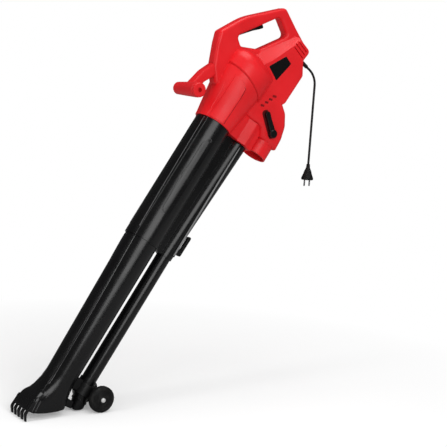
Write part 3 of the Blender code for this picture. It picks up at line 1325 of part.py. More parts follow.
def main():
    global PARTS, CUTTERS
    clear_scene()
    PARTS = make_collection("leaf_blower_vacuum")
    CUTTERS = make_collection("construction")
    red = material("red_plastic", (0.72, 0.014, 0.018), 0.35)
    black = material("black_plastic", (0.012, 0.012, 0.013), 0.38)
    rubber = material("black_rubber", (0.014, 0.014, 0.014), 0.62)
    pale = material("pale_metal", (0.62, 0.62, 0.61), 0.30, 1.0)
    steel = material("bright_steel", (0.55, 0.55, 0.56), 0.30, 1.0)
    laminated = material("laminated_steel", (0.22, 0.22, 0.24), 0.50, 0.9)
    copper = material("copper_winding", (0.58, 0.22, 0.09), 0.42, 0.9)
    brass = material("brass", (0.66, 0.48, 0.18), 0.34, 1.0)
    lean = lean_angle()

    housings(red)
    front_handle(red)
    piece(badge_body("badge"), "badge_plate", black)
    upper_tube(black)
    lower_suction_tube(black)
    lower_blow_tube(black)
    blow_nozzle(black)
    wheel_bracket(black)
    bag_hook(black)
    wheel("wheel_left", -1, rubber)
    wheel("wheel_right", 1, rubber)
    axle_and_caps(steel, pale)
    impeller(black)
    motor(steel, copper, black, brass, laminated)
    diverter(steel, black, black)
    trigger_group(black, steel)
    electrics(pale, black)
    piece(relief_skin("relief"), "strain_relief", rubber)
    cord_group(lean, rubber, steel)
    stand_up(lean)
    for leftover in list(CUTTERS.objects):
        bpy.data.objects.remove(leftover, do_unlink=True)


main()
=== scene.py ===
"""Leaf blower vacuum: finishes, moulded detail, cord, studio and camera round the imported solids.

The machine leans on its rake teeth and its two wheels. Detail is modelled in the machine's own
frame: "along" runs up the suction tube from its mouth, "across" is from its left side (negative)
to its right, and "up" points from the tube's axis to the handles. Every length is in metres.
"""

import json
import logging
import math
from dataclasses import dataclass
from enum import Enum
from typing import Callable, Iterator, Sequence

import bmesh
import bpy
from mathutils import Matrix, Vector
from mathutils.bvhtree import BVHTree

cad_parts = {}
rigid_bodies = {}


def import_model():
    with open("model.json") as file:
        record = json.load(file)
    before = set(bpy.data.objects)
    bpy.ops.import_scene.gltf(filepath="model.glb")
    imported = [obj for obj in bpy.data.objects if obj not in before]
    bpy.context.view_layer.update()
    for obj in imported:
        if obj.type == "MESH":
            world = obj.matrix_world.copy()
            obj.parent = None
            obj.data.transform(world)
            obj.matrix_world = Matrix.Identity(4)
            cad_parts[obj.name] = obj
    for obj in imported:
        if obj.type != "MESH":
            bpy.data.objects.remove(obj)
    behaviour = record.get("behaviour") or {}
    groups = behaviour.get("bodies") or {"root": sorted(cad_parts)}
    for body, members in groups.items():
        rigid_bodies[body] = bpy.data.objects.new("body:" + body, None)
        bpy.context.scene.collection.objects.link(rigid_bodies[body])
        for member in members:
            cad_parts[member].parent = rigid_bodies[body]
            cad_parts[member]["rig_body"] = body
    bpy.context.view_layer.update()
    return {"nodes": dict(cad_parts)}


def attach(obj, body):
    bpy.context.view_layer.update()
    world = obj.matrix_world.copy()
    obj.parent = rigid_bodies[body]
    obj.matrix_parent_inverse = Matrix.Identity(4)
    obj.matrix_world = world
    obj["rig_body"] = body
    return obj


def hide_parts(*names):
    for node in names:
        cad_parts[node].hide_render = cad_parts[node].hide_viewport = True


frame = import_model()

log = logging.getLogger("leaf_blower_vacuum")

Pair = tuple[float, float]
Triple = tuple[float, float, float]
Spots = tuple[Pair, ...]
Piece = bpy.types.Object
Material = bpy.types.Material
Socket = bpy.types.NodeSocket

BODY = "machine"  # the body that every new piece rides on
COLLAR = 0.835  # where the housing's collar starts, along the machine
CLEAR_OF_ALL = 0.2  # a way from the axis that clears the whole machine
WAVE_TURN = 6.3  # about one turn: a rate of stripes over it is a wave texture's scale
WHITE = (1.0, 1.0, 1.0, 1.0)
GLOSSY = ("upper_tube", "lower_suction_tube", "lower_blow_tube", "blow_nozzle", "badge_plate")
SKINNED = (
    "left_housing", "right_housing", "front_handle", "upper_tube", "lower_suction_tube",
    "lower_blow_tube", "blow_nozzle", "wheel_bracket", "bag_hook", "wheel_left", "wheel_right",
    "hub_cap_left", "hub_cap_right", "trigger", "mode_lever", "badge_plate",
)


class Side(Enum):
    """A side of the machine, looking along it from the handles."""

    LEFT = -1
    RIGHT = 1

    @property
    def tag(self) -> str:
        """Returns the side's word in the name of a piece."""
        return self.name.lower()

    @property
    def inward(self) -> Vector:
        """Returns the direction from the side to the middle."""
        return Vector((0, -self.value, 0))


class Slot(Enum):
    """The record's material slots."""

    RED = "red_plastic"
    BLACK = "black_plastic"
    RUBBER = "black_rubber"
    PALE = "pale_metal"
    STEEL = "bright_steel"
    LAMINATED = "laminated_steel"
    COPPER = "copper_winding"
    BRASS = "brass"


class Stripes(Enum):
    """The way that fine stripes follow one another on a surface."""

    ALONG = "X"
    ACROSS = "Y"
    SLANTED = "DIAGONAL"


class Pick(Enum):
    """The parts of a mesh that a test selects."""

    FACES = "FACE"
    EDGES = "EDGE"


@dataclass(frozen=True)
class MachineFrame:
    """The machine's own frame, leaned over and set down on its teeth and wheels."""

    lean: float = math.radians(57.12884)
    foot: Triple = (-0.33010, 0.0, 0.07774)

    def matrix(self) -> Matrix:
        """Returns the turn and shift from the machine's frame to the room."""
        return Matrix.Translation(self.foot) @ Matrix.Rotation(-self.lean, 4, "Y")

    def place(self, point: Sequence[float]) -> Vector:
        """Returns the room's point for a point of the machine."""
        return self.matrix() @ Vector(point)

    def down(self) -> Vector:
        """Returns the room's downward direction in the machine's frame."""
        return Vector((-math.sin(self.lean), 0, -math.cos(self.lean)))


MACHINE = MachineFrame()


# Shader boards and finishes


class Board:
    """A cleared node tree and short ways to lay nodes on it."""

    def __init__(self, owner: Material | bpy.types.World, output: str = "OutputMaterial") -> None:
        """Clears the owner's nodes.

        Args:
            owner: the new material or world.
            output: the kind of its output node.
        """
        owner.use_nodes = True
        self.owner = owner
        self.tree = owner.node_tree
        self.tree.nodes.clear()
        self.output = self.node(output).inputs[0]

    def feed(self, socket: Socket, value: object) -> None:
        """Gives an input another node's output or a plain value.

        Args:
            socket: the input.
            value: the output, number or colour.
        """
        if isinstance(value, Socket):
            self.tree.links.new(value, socket)
        else:
            socket.default_value = value

    def node(self, kind: str, *first: object, **named: object) -> bpy.types.Node:
        """Adds a node.

        Args:
            kind: the node's type, without its ShaderNode prefix.
            first: outputs or values for its first inputs, in order.
            named: the same by input name, spaces as underscores, or the node's own settings.

        Returns:
            The node.
        """
        made = self.tree.nodes.new("ShaderNode" + kind)
        for name in [name for name in named if hasattr(made, name)]:
            setattr(made, name, named.pop(name))
        for socket, value in zip(made.inputs, first):
            self.feed(socket, value)
        for name, value in named.items():
            self.feed(made.inputs[name.replace("_", " ")], value)
        return made

    def calc(self, operation: str, *values: object, **settings: object) -> Socket:
        """Returns the result of a sum on fields or numbers."""
        return self.node("Math", *values, operation=operation, **settings).outputs[0]

    def place(self, stretch: Triple = (1, 1, 1), shift: Sequence[float] = (0, 0, 0)) -> Socket:
        """Returns object coordinates turned to the machine's axes, stretched and shifted."""
        where, turn = self.node("TexCoord").outputs["Object"], (0, MACHINE.lean, 0)
        return self.node("Mapping", where, Location=shift, Rotation=turn, Scale=stretch).outputs[0]

    def noise(self, scale: float, detail: float = 3.0, stretch: Triple = (1, 1, 1)) -> Socket:
        """Returns a noise field of about the given number of blots to the metre."""
        made = self.node("TexNoise", self.place(stretch), Scale=scale, Detail=detail)
        return made.outputs["Fac"]

    def stripes(self, way: Stripes, scale: float, waver: float) -> Socket:
        """Returns a field of stripes that waver a little."""
        made = self.node(
            "TexWave", self.place(), bands_direction=way.value, Scale=scale, Distortion=waver)
        return made.outputs["Fac"]

    def ranged(
            self, field: Socket, low: float, high: float, start: float = 0.0, end: float = 1.0,
    ) -> Socket:
        """Returns a field that goes from low to high where the given one goes from start to end."""
        return self.node("MapRange", field, start, end, low, high).outputs[0]

    def blots(
            self, scale: float, detail: float, low: float = 0.0, high: float = 1.0,
            start: float = 0.3, end: float = 0.7, stretch: Triple = (1, 1, 1),
    ) -> Socket:
        """Returns noise of a scale, cut off at start and end and brought to low and high."""
        return self.ranged(self.noise(scale, detail, stretch), low, high, start, end)

    def mixed(self, share: Socket, first: Triple | Socket, second: Triple | Socket) -> Socket:
        """Mixes two colours by a field.

        Args:
            share: the field, from 0 for the first colour to 1 for the second.
            first: a colour or another node's output.
            second: the same.

        Returns:
            The mixed colour.
        """
        mix = self.node("Mix", share, data_type="RGBA")
        # The node's colours are its seventh and eighth inputs and its third output.
        for socket, value in zip(mix.inputs[6:8], (first, second)):
            self.feed(socket, value if isinstance(value, Socket) else (*value, 1.0))
        return mix.outputs[2]

    def edges(self, radius: float) -> tuple[Socket, Socket]:
        """Rounds the look of sharp edges and finds them.

        Args:
            radius: how wide the rounding is.

        Returns:
            The rounded normal, and a field that is 1 on edges and 0 on open faces.
        """
        rounded = self.node("Bevel", samples=4, Radius=radius).outputs[0]
        flat = self.node("NewGeometry").outputs["Normal"]
        agree = self.node("VectorMath", rounded, flat, operation="DOT_PRODUCT").outputs["Value"]
        return rounded, self.ranged(agree, 1.0, 0.0, start=0.72, end=0.995)

    def bump(self, height: Socket, strength: float, distance: float, normal: Socket) -> Socket:
        """Returns a normal with a height field's relief on it."""
        made = self.node("Bump", Height=height, Strength=strength, Distance=distance, Normal=normal)
        return made.outputs[0]

    def surface(self, **inputs: object) -> Material:
        """Finishes the material with one principled surface and returns it."""
        self.feed(self.output, self.node("BsdfPrincipled", **inputs).outputs[0])
        return self.owner


@dataclass(frozen=True)
class MouldedPlastic:
    """Injection-moulded plastic: slight colour drift, spark-eroded grain and scuffed edges."""

    name: str
    colour: Triple
    deep: Triple
    worn: Triple
    roughness: float
    spread: float
    grain: float
    gloss: float
    specular: float
    edge: float = 0.0009

    def material(self) -> Material:
        """Lays the material's nodes.

        Returns:
            The finished material.
        """
        board = Board(bpy.data.materials.new(self.name))
        normal, edge = board.edges(self.edge)
        drift = board.blots(9.0, 4.0, start=0.32, end=0.68)
        base = board.mixed(drift, self.deep, self.colour)
        patch = board.blots(160.0, 5.0, start=0.45, end=0.62)
        scuff = board.ranged(board.calc("MULTIPLY", edge, patch), low=0.0, high=0.55)
        handled = board.blots(26.0, 6.0, low=-self.spread, high=self.spread)
        scratch = board.blots(48.0, 2.0, high=0.07, start=0.66, end=0.74, stretch=(0.12, 5.0, 5.0))
        marks = board.calc("ADD", handled, scratch)
        wave = board.bump(board.noise(70.0, 1.0), 0.10, 0.0004, normal)
        return board.surface(
            Base_Color=board.mixed(scuff, base, self.worn),
            Roughness=board.calc("ADD", marks, self.roughness, use_clamp=True),
            Normal=board.bump(board.noise(2300.0, 2.0), self.grain, 0.00006, wave),
            Specular_IOR_Level=self.specular, Coat_Weight=self.gloss, Coat_Roughness=0.16)


@dataclass(frozen=True)
class TyreRubber:
    """Hard wheel rubber with a dusty bloom, fine pores and turned rings on its faces."""

    name: str
    colour: Triple = (0.0050, 0.0050, 0.0052)
    dust: Triple = (0.030, 0.029, 0.027)
    roughness: float = 0.56
    axle: Pair = (0.0312, -0.1248)
    ring_pitch: float = 0.0046

    def rings(self, board: Board) -> Socket:
        """Lays the turned rings on the wheel's faces.

        Args:
            board: the material's board.

        Returns:
            The rings as a height field.
        """
        turn = Matrix.Rotation(MACHINE.lean, 3, "Y")
        shift = -(turn @ Vector(MACHINE.foot)) - Vector((self.axle[0], 0, self.axle[1]))
        centred = board.place(shift=shift)
        flat = board.node("VectorMath", centred, (1.0, 0.0, 1.0), operation="MULTIPLY").outputs[0]
        reach = board.node("VectorMath", flat, operation="LENGTH").outputs["Value"]
        return board.calc("SINE", board.calc("MULTIPLY", reach, math.tau / self.ring_pitch))

    def material(self) -> Material:
        """Lays the material's nodes.

        Returns:
            The finished material.
        """
        board = Board(bpy.data.materials.new(self.name))
        normal, edge = board.edges(0.0011)
        cloud = board.blots(55.0, 6.0, high=0.55, start=0.48, end=0.75)
        rubbed = board.calc("MAXIMUM", cloud, board.ranged(edge, low=0.0, high=0.35))
        ringed = board.bump(self.rings(board), 0.8, 0.0005, normal)
        return board.surface(
            Base_Color=board.mixed(rubbed, self.colour, self.dust),
            Roughness=board.blots(90.0, 4.0, self.roughness - 0.12, self.roughness + 0.14),
            Normal=board.bump(board.noise(1500.0), 0.35, 0.0001, ringed),
            Specular_IOR_Level=0.35)


@dataclass(frozen=True)
class TurnedMetal:
    """Bare metal with the fine lines that a lathe, a die or a grinder leaves."""

    name: str
    colour: Triple
    dull: Triple
    roughness: float
    metallic: float = 1.0

    def material(self) -> Material:
        """Lays the material's nodes.

        Returns:
            The finished material.
        """
        board = Board(bpy.data.materials.new(self.name))
        normal, edge = board.edges(0.0004)
        tarnish = board.blots(120.0, 5.0, start=0.35)
        shade = board.mixed(tarnish, self.colour, self.dull)
        streaks = board.noise(900.0, 2.0, (0.08, 1.0, 1.0))
        rough = board.blots(
            300.0, 4.0, self.roughness - 0.07, self.roughness + 0.10, stretch=(1, 4, 1))
        return board.surface(
            Base_Color=board.mixed(board.ranged(edge, low=0.0, high=0.6), shade, self.colour),
            Roughness=rough, Normal=board.bump(streaks, 0.25, 0.00004, normal),
            Metallic=self.metallic)


@dataclass(frozen=True)
class StripedMetal:
    """Metal in fine stripes: stacked motor laminations, or enamelled wire laid in turns."""

    name: str
    colour: Triple
    gap: Triple
    way: Stripes
    stripes: float
    waver: float
    blots: float
    rough: Pair
    strength: float
    depth: float
    metallic: float
    coat: float
    edge: float

    def material(self) -> Material:
        """Lays the material's nodes.

        Returns:
            The finished material.
        """
        board = Board(bpy.data.materials.new(self.name))
        normal, _ = board.edges(self.edge)
        bands = board.stripes(self.way, self.stripes / WAVE_TURN, self.waver)
        return board.surface(
            Base_Color=board.mixed(bands, self.gap, self.colour),
            Roughness=board.blots(self.blots, 3.0, *self.rough),
            Normal=board.bump(bands, self.strength, self.depth, normal),
            Metallic=self.metallic, Coat_Weight=self.coat)


@dataclass(frozen=True)
class FlexSheath:
    """Matt mains flex: soft vinyl with a faint lay of the cores and rubbed patches."""

    name: str
    colour: Triple = (0.0075, 0.0075, 0.0078)
    rubbed: Triple = (0.030, 0.030, 0.031)

    def material(self) -> Material:
        """Lays the material's nodes.

        Returns:
            The finished material.
        """
        board = Board(bpy.data.materials.new(self.name))
        patch = board.blots(38.0, 5.0, high=0.6, start=0.5, end=0.8)
        lay = board.stripes(Stripes.SLANTED, 60.0, 0.6)
        normal = board.node("NewGeometry").outputs["Normal"]
        return board.surface(
            Base_Color=board.mixed(patch, self.colour, self.rubbed),
            Roughness=board.blots(60.0, 4.0, low=0.36, high=0.56),
            Normal=board.bump(lay, 0.12, 0.0003, normal), Specular_IOR_Level=0.4)


class Finishes:
    """Every finish on the machine, made once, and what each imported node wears."""

    def __init__(self) -> None:
        """Makes the materials."""
        self.worn: dict[str, tuple[Material, Slot]] = {}
        self.red = MouldedPlastic(
            "red_abs", (0.780, 0.0120, 0.0170), (0.690, 0.0080, 0.0120), (0.90, 0.10, 0.10),
            roughness=0.36, spread=0.06, grain=0.16, gloss=0.05, specular=0.30).material()
        self.tube = MouldedPlastic(
            "black_gloss", (0.0042, 0.0042, 0.0046), (0.0026, 0.0026, 0.0029),
            (0.050, 0.050, 0.051), roughness=0.25, spread=0.04, grain=0.08, gloss=0.15,
            specular=0.50, edge=0.0012).material()
        # A lighter grey black for the beads and rails: its lightness is a painted highlight along
        # them, not the plastic's own colour.
        self.bright = MouldedPlastic(
            "black_bead", (0.040, 0.040, 0.041), (0.028, 0.028, 0.029), (0.150, 0.150, 0.152),
            roughness=0.18, spread=0.03, grain=0.05, gloss=0.45, specular=0.60,
            edge=0.0005).material()
        self.black = MouldedPlastic(
            "black_satin", (0.0055, 0.0055, 0.0058), (0.0034, 0.0034, 0.0037),
            (0.055, 0.055, 0.055), roughness=0.38, spread=0.06, grain=0.24, gloss=0.05,
            specular=0.40).material()
        dull = {"roughness": 0.55, "spread": 0.05, "grain": 0.22, "gloss": 0.0, "specular": 0.20}
        # A near-black red for the plate beside the mode lever: painted shade.
        self.deep = MouldedPlastic(
            "red_abs_recess", (0.11, 0.0030, 0.0045), (0.07, 0.0022, 0.0030),
            (0.20, 0.01, 0.01), **dull).material()
        # A dark red for the plates in the vent slots and the line along the panel's edge: painted
        # shade.
        self.shade = MouldedPlastic(
            "red_abs_screen", (0.30, 0.0055, 0.0080), (0.22, 0.0040, 0.0060),
            (0.42, 0.02, 0.02), **dull).material()
        self.rubber = TyreRubber("wheel_rubber").material()
        self.flex = FlexSheath("flex_sheath").material()
        self.pale = TurnedMetal(
            "pale_cap", (0.86, 0.86, 0.85), (0.66, 0.66, 0.66), 0.30, metallic=0.35).material()
        self.steel = TurnedMetal(
            "bright_steel", (0.60, 0.60, 0.61), (0.40, 0.40, 0.41), 0.25).material()
        self.brass = TurnedMetal("brass", (0.66, 0.47, 0.17), (0.44, 0.29, 0.10), 0.30).material()
        self.laminated = StripedMetal(
            "laminations", (0.20, 0.20, 0.215), (0.045, 0.043, 0.043), Stripes.ALONG,
            stripes=1700.0, waver=0.2, blots=200.0, rough=(0.38, 0.58), strength=0.4,
            depth=0.00008, metallic=0.85, coat=0.0, edge=0.0003).material()
        self.copper = StripedMetal(
            "enamelled_copper", (0.56, 0.20, 0.075), (0.17, 0.05, 0.02), Stripes.ACROSS,
            stripes=1400.0, waver=1.2, blots=220.0, rough=(0.26, 0.42), strength=0.7,
            depth=0.0002, metallic=0.8, coat=0.4, edge=0.0004).material()

    def by_slot(self) -> dict[Slot, Material]:
        """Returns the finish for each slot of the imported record."""
        return {
            Slot.RED: self.red, Slot.BLACK: self.black, Slot.RUBBER: self.rubber,
            Slot.PALE: self.pale, Slot.STEEL: self.steel, Slot.LAMINATED: self.laminated,
            Slot.COPPER: self.copper, Slot.BRASS: self.brass,
        }

    def dress_nodes(self, nodes: dict[str, Piece]) -> None:
        """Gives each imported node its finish.

        Args:
            nodes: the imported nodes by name.
        """
        slots = self.by_slot()
        for name, obj in nodes.items():
            slot = Slot(obj.data.materials[0].name.split(".")[0])
            finish = self.tube if name in GLOSSY else slots[slot]
            self.worn[name] = (finish, slot)
            obj.data.materials.clear()
            obj.data.materials.append(finish)
            log.info("node %s wears %s", name, finish.name)


# Shaping on the bench


def linked(name: str, data: bpy.types.ID) -> Piece:
    """Makes an object of the scene.

    Args:
        name: its name.
        data: the mesh, curve, lamp or camera that it shows.

    Returns:
        The object.
    """
    obj = bpy.data.objects.new(name, data)
    bpy.context.scene.collection.objects.link(obj)
    return obj


class Blank:
    """A mesh that is shaped with modelling operators in the machine's frame, then set in place."""

    def __init__(self, obj: Piece, name: str) -> None:
        """Takes an object on to the bench.

        Args:
            obj: the new primitive.
            name: the finished piece's name.
        """
        self.obj = obj
        obj.name = name
        obj.data.name = name

    @staticmethod
    def clear() -> None:
        """Leaves edit mode and deselects everything."""
        if bpy.context.object and bpy.context.object.mode != "OBJECT":
            bpy.ops.object.mode_set(mode="OBJECT")
        bpy.ops.object.select_all(action="DESELECT")

    @classmethod
    def cylinder(
            cls, name: str, radius: float, depth: float, centre: Vector, axis: Vector, sides: int,
    ) -> "Blank":
        """Adds a cylinder.

        Args:
            name: the piece's name.
            radius: its radius.
            depth: its height along the axis.
            centre: its middle.
            axis: the way that its top faces.
            sides: how many sides it has.

        Returns:
            The blank.
        """
        cls.clear()
        turn = axis.to_track_quat("Z", "Y").to_euler()
        bpy.ops.mesh.primitive_cylinder_add(
            vertices=sides, radius=radius, depth=depth, location=centre, rotation=turn)
        return cls(bpy.context.object, name).flatten()

    @classmethod
    def block(
            cls, name: str, size: Triple, centre: Vector, turn: Triple = (0, 0, 0),
    ) -> "Blank":
        """Adds a block.

        Args:
            name: the piece's name.
            size: its three lengths.
            centre: its middle.
            turn: its turn about each axis.

        Returns:
            The blank.
        """
        cls.clear()
        bpy.ops.mesh.primitive_cube_add(size=1.0, location=centre, rotation=turn)
        bpy.context.object.scale = size
        return cls(bpy.context.object, name).flatten()

    @classmethod
    def rings(
            cls, name: str, runs: Sequence[tuple[Vector, float]], width: float, axis: Vector,
            sides: int,
    ) -> "Blank":
        """Adds rings of round section as one piece.

        Args:
            name: the piece's name.
            runs: each ring's middle and radius.
            width: how thick they are.
            axis: the axis that they lie about.
            sides: how many sides each has.

        Returns:
            The blank.
        """
        turn = axis.to_track_quat("Z", "Y").to_euler()
        made = []
        for centre, radius in runs:
            cls.clear()
            bpy.ops.mesh.primitive_torus_add(
                major_radius=radius, minor_radius=width / 2, major_segments=sides,
                minor_segments=10, location=centre, rotation=turn)
            made.append(cls(bpy.context.object, name).flatten())
        made[0].hold()
        for ring in made[1:]:
            ring.obj.select_set(True)
        bpy.ops.object.join()
        return made[0]

    @classmethod
    def sheet(
            cls, name: str, size: Pair, steps: tuple[int, int],
            lie: Callable[[float, float], Vector], thickness: float,
    ) -> "Blank":
        """Adds a thin sheet that lies on a surface.

        Args:
            name: the piece's name.
            size: its runs in the surface's two directions.
            steps: how many cells it has each way.
            lie: the surface's point for the two runs.
            thickness: how thick it is.

        Returns:
            The blank.
        """
        cls.clear()
        bpy.ops.mesh.primitive_grid_add(x_subdivisions=steps[0], y_subdivisions=steps[1], size=1.0)
        blank = cls(bpy.context.object, name)
        for vertex in blank.obj.data.vertices:
            vertex.co = lie(vertex.co.x * size[0], vertex.co.y * size[1])
        return blank.modifier("SOLIDIFY", thickness=thickness, offset=0.0)

    def flatten(self) -> "Blank":
        """Puts the object's place, turn and size into its mesh.

        Returns:
            The blank.
        """
        bpy.context.view_layer.update()
        self.obj.data.transform(self.obj.matrix_world)
        self.obj.matrix_world = Matrix.Identity(4)
        return self

    def hold(self) -> None:
        """Selects the blank alone."""
        self.clear()
        self.obj.select_set(True)
        bpy.context.view_layer.objects.active = self.obj

    def edit(self) -> None:
        """Opens the blank alone in edit mode, with all of it selected."""
        self.hold()
        bpy.ops.object.mode_set(mode="EDIT")
        bpy.ops.mesh.select_all(action="SELECT")

    def pick(self, kind: Pick, test: Callable[[object], bool] = lambda part: True) -> "Blank":
        """Opens edit mode and selects what passes a test, or all.

        Args:
            kind: what is selected.
            test: what a face or edge has to pass.

        Returns:
            The blank.
        """
        self.edit()
        bpy.ops.mesh.select_mode(type=kind.value)
        bpy.ops.mesh.select_all(action="DESELECT")
        mesh = bmesh.from_edit_mesh(self.obj.data)
        for part in mesh.faces if kind is Pick.FACES else mesh.edges:
            part.select_set(test(part))
        bmesh.update_edit_mesh(self.obj.data)
        return self

    def facing(self, way: Vector) -> "Blank":
        """Opens edit mode and selects the faces that look in one direction."""
        return self.pick(Pick.FACES, lambda face: face.normal.dot(way) > 0.9)

    def inset(self, rim: float, depth: float = 0.0) -> "Blank":
        """Insets the selected faces by a rim, raised or sunk by a depth."""
        bpy.ops.mesh.inset(thickness=rim, depth=depth, use_boundary=True)
        return self

    def modifier(self, kind: str, **settings: object) -> "Blank":
        """Applies a modifier.

        Args:
            kind: its type.
            settings: its settings by name.

        Returns:
            The blank.
        """
        self.hold()
        made = self.obj.modifiers.new(kind.lower(), kind)
        for name, value in settings.items():
            setattr(made, name, value)
        bpy.ops.object.modifier_apply(modifier=made.name)
        return self

    def rounded(self, width: float, segments: int = 2, angle: float = 32.0) -> "Blank":
        """Rounds the edges that are sharper than an angle in degrees."""
        limit = math.radians(angle)
        return self.modifier(
            "BEVEL", width=width, segments=segments, limit_method="ANGLE", angle_limit=limit)

    def less(self, *cutters: "Blank") -> "Blank":
        """Cuts other blanks out of this one and drops them.

        Args:
            cutters: the blanks to cut with.

        Returns:
            The blank.
        """
        for cutter in cutters:
            self.modifier("BOOLEAN", object=cutter.obj, operation="DIFFERENCE", solver="EXACT")
            bpy.data.objects.remove(cutter.obj)
        return self

    def copy(self, name: str, move: Vector) -> "Blank":
        """Makes a moved copy with a mesh of its own.

        Args:
            name: the copy's name.
            move: how far it is moved.

        Returns:
            The copy.
        """
        made = Blank(linked(name, self.obj.data.copy()), name)
        made.obj.data.transform(Matrix.Translation(move))
        return made

    def merged(self) -> "Blank":
        """Merges doubles and turns the faces outwards.

        Returns:
            The blank.
        """
        self.edit()
        bpy.ops.mesh.remove_doubles(threshold=0.00002)
        bpy.ops.mesh.normals_make_consistent(inside=False)
        bpy.ops.object.mode_set(mode="OBJECT")
        return self

    def done(self, finish: Material, slot: Slot, angle: float = 35.0) -> Piece:
        """Smooths the piece, stands it in the room, dresses it and hangs it on the machine.

        Args:
            finish: its material.
            slot: the record's slot for that material; not used.
            angle: edges sharper than this stay sharp, in degrees.

        Returns:
            The finished object.
        """
        self.hold()
        bpy.ops.object.shade_smooth_by_angle(angle=math.radians(angle))
        self.obj.data.transform(MACHINE.matrix())
        self.obj.data.materials.clear()
        self.obj.data.materials.append(finish)
        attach(self.obj, BODY)
        log.info("piece %s on %s, %d faces", self.obj.name, BODY, len(self.obj.data.polygons))
        return self.obj


class Probe:
    """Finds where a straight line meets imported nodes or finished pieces."""

    def __init__(self, *nodes: str) -> None:
        """Reads the faces.

        Args:
            nodes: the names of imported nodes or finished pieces.
        """
        back = MACHINE.matrix().inverted()
        points, faces = [], []
        for name in nodes:
            mesh = (frame["nodes"].get(name) or bpy.data.objects[name]).data
            start = len(points)
            points += [back @ vertex.co for vertex in mesh.vertices]
            faces += [[start + index for index in face.vertices] for face in mesh.polygons]
        self.tree = BVHTree.FromPolygons(points, faces)

    def hit(self, start: Sequence[float], way: Vector, sink: float = 0.0) -> Vector:
        """Shoots a line.

        Args:
            start: where it starts.
            way: its direction.
            sink: how far below the surface the point is wanted.

        Returns:
            The point that it meets, sunk in by that much.
        """
        point, normal, _, _ = self.tree.ray_cast(Vector(start), way.normalized())
        if point is None:
            raise ValueError(f"no surface from {tuple(start)} along {tuple(way)}")
        return point - normal * sink

    def beside(self, side: Side, along: float, up: float, sink: float = 0.0) -> Vector:
        """Returns the point that a line straight in from a side meets."""
        return self.hit((along, side.value * CLEAR_OF_ALL, up), side.inward, sink)

    def above(self, along: float, across: float, sink: float = 0.0) -> Vector:
        """Returns the point that a line straight down meets."""
        return self.hit((along, across, CLEAR_OF_ALL), Vector((0, 0, -1)), sink)


def on_the_way(spots: Spots, steps: int, parts: int) -> Iterator[Pair]:
    """Goes along the stretches between places.

    Args:
        spots: the places.
        steps: how many points each stretch has, its first place among them.
        parts: how many equal parts the stretch is divided into.

    Yields:
        The points.
    """
    for (start, low), (end, high) in zip(spots, spots[1:]):
        for step in range(steps):
            share = step / parts
            yield start + (end - start) * share, low + (high - low) * share


def round_curve(
        name: str, points: Sequence[Vector], width: float, smoothness: int, soft: bool = False,
) -> Piece:
    """Makes a curve of round section.

    Args:
        name: its name.
        points: the points of its middle.
        width: how wide it is.
        smoothness: how finely its section is rounded.
        soft: whether it rounds off its points instead of passing through them.

    Returns:
        The curve's object.
    """
    curve = bpy.data.curves.new(name, "CURVE")
    curve.dimensions = "3D"
    curve.bevel_depth = width / 2
    curve.bevel_resolution = smoothness
    curve.use_fill_caps = True
    spline = curve.splines.new("NURBS" if soft else "POLY")
    spline.points.add(len(points) - 1)
    for spot, point in zip(spline.points, points):
        spot.co = (*point, 1.0)
    spline.use_smooth = True
    if soft:
        spline.use_endpoint_u = True
        spline.order_u = 4
    return linked(name, curve)


def bead_along(
        name: str, points: Sequence[Vector], width: float, finish: Material, soft: bool = False,
        slot: Slot = Slot.BLACK,
) -> Piece:
    """Makes a raised bead of round section through points of the machine.

    Args:
        name: the piece's name.
        points: the points of its middle.
        width: how wide it is.
        finish: its material.
        soft: whether it rounds off its points instead of passing through them.
        slot: the finish's slot; not used.

    Returns:
        The finished bead.
    """
    Blank(round_curve(name, points, width, 3, soft), name).hold()
    bpy.ops.object.convert(target="MESH")
    return Blank(bpy.context.object, name).done(finish, slot)


# The machine's sub-assemblies


@dataclass
class MouldedSkin:
    """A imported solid's own faces, merged and shaded as a smooth moulding, in that solid's place."""

    node: str
    angle: float = 33.0

    def build(self, finishes: Finishes) -> Piece:
        """Makes the skin and lets it stand for the node.

        Args:
            finishes: the machine's materials, already given to the nodes.

        Returns:
            The skin.
        """
        source = frame["nodes"][self.node]
        finish, slot = finishes.worn[self.node]
        name = self.node + "_skin"
        blank = Blank(linked(name, source.data.copy()), name)
        blank.hold()
        bpy.ops.mesh.customdata_custom_splitnormals_clear()
        blank.edit()
        bpy.ops.mesh.remove_doubles(threshold=0.00001)
        bpy.ops.mesh.dissolve_limited(angle_limit=math.radians(0.4))
        bpy.ops.object.mode_set(mode="OBJECT")
        bpy.ops.object.shade_smooth_by_angle(angle=math.radians(self.angle))
        blank.modifier("WEIGHTED_NORMAL", mode="FACE_AREA_WITH_ANGLE", keep_sharp=True, weight=60)
        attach(blank.obj, source["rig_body"])
        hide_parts(self.node)
        log.info("skin %s wears %s", name, finish.name)
        return blank.obj


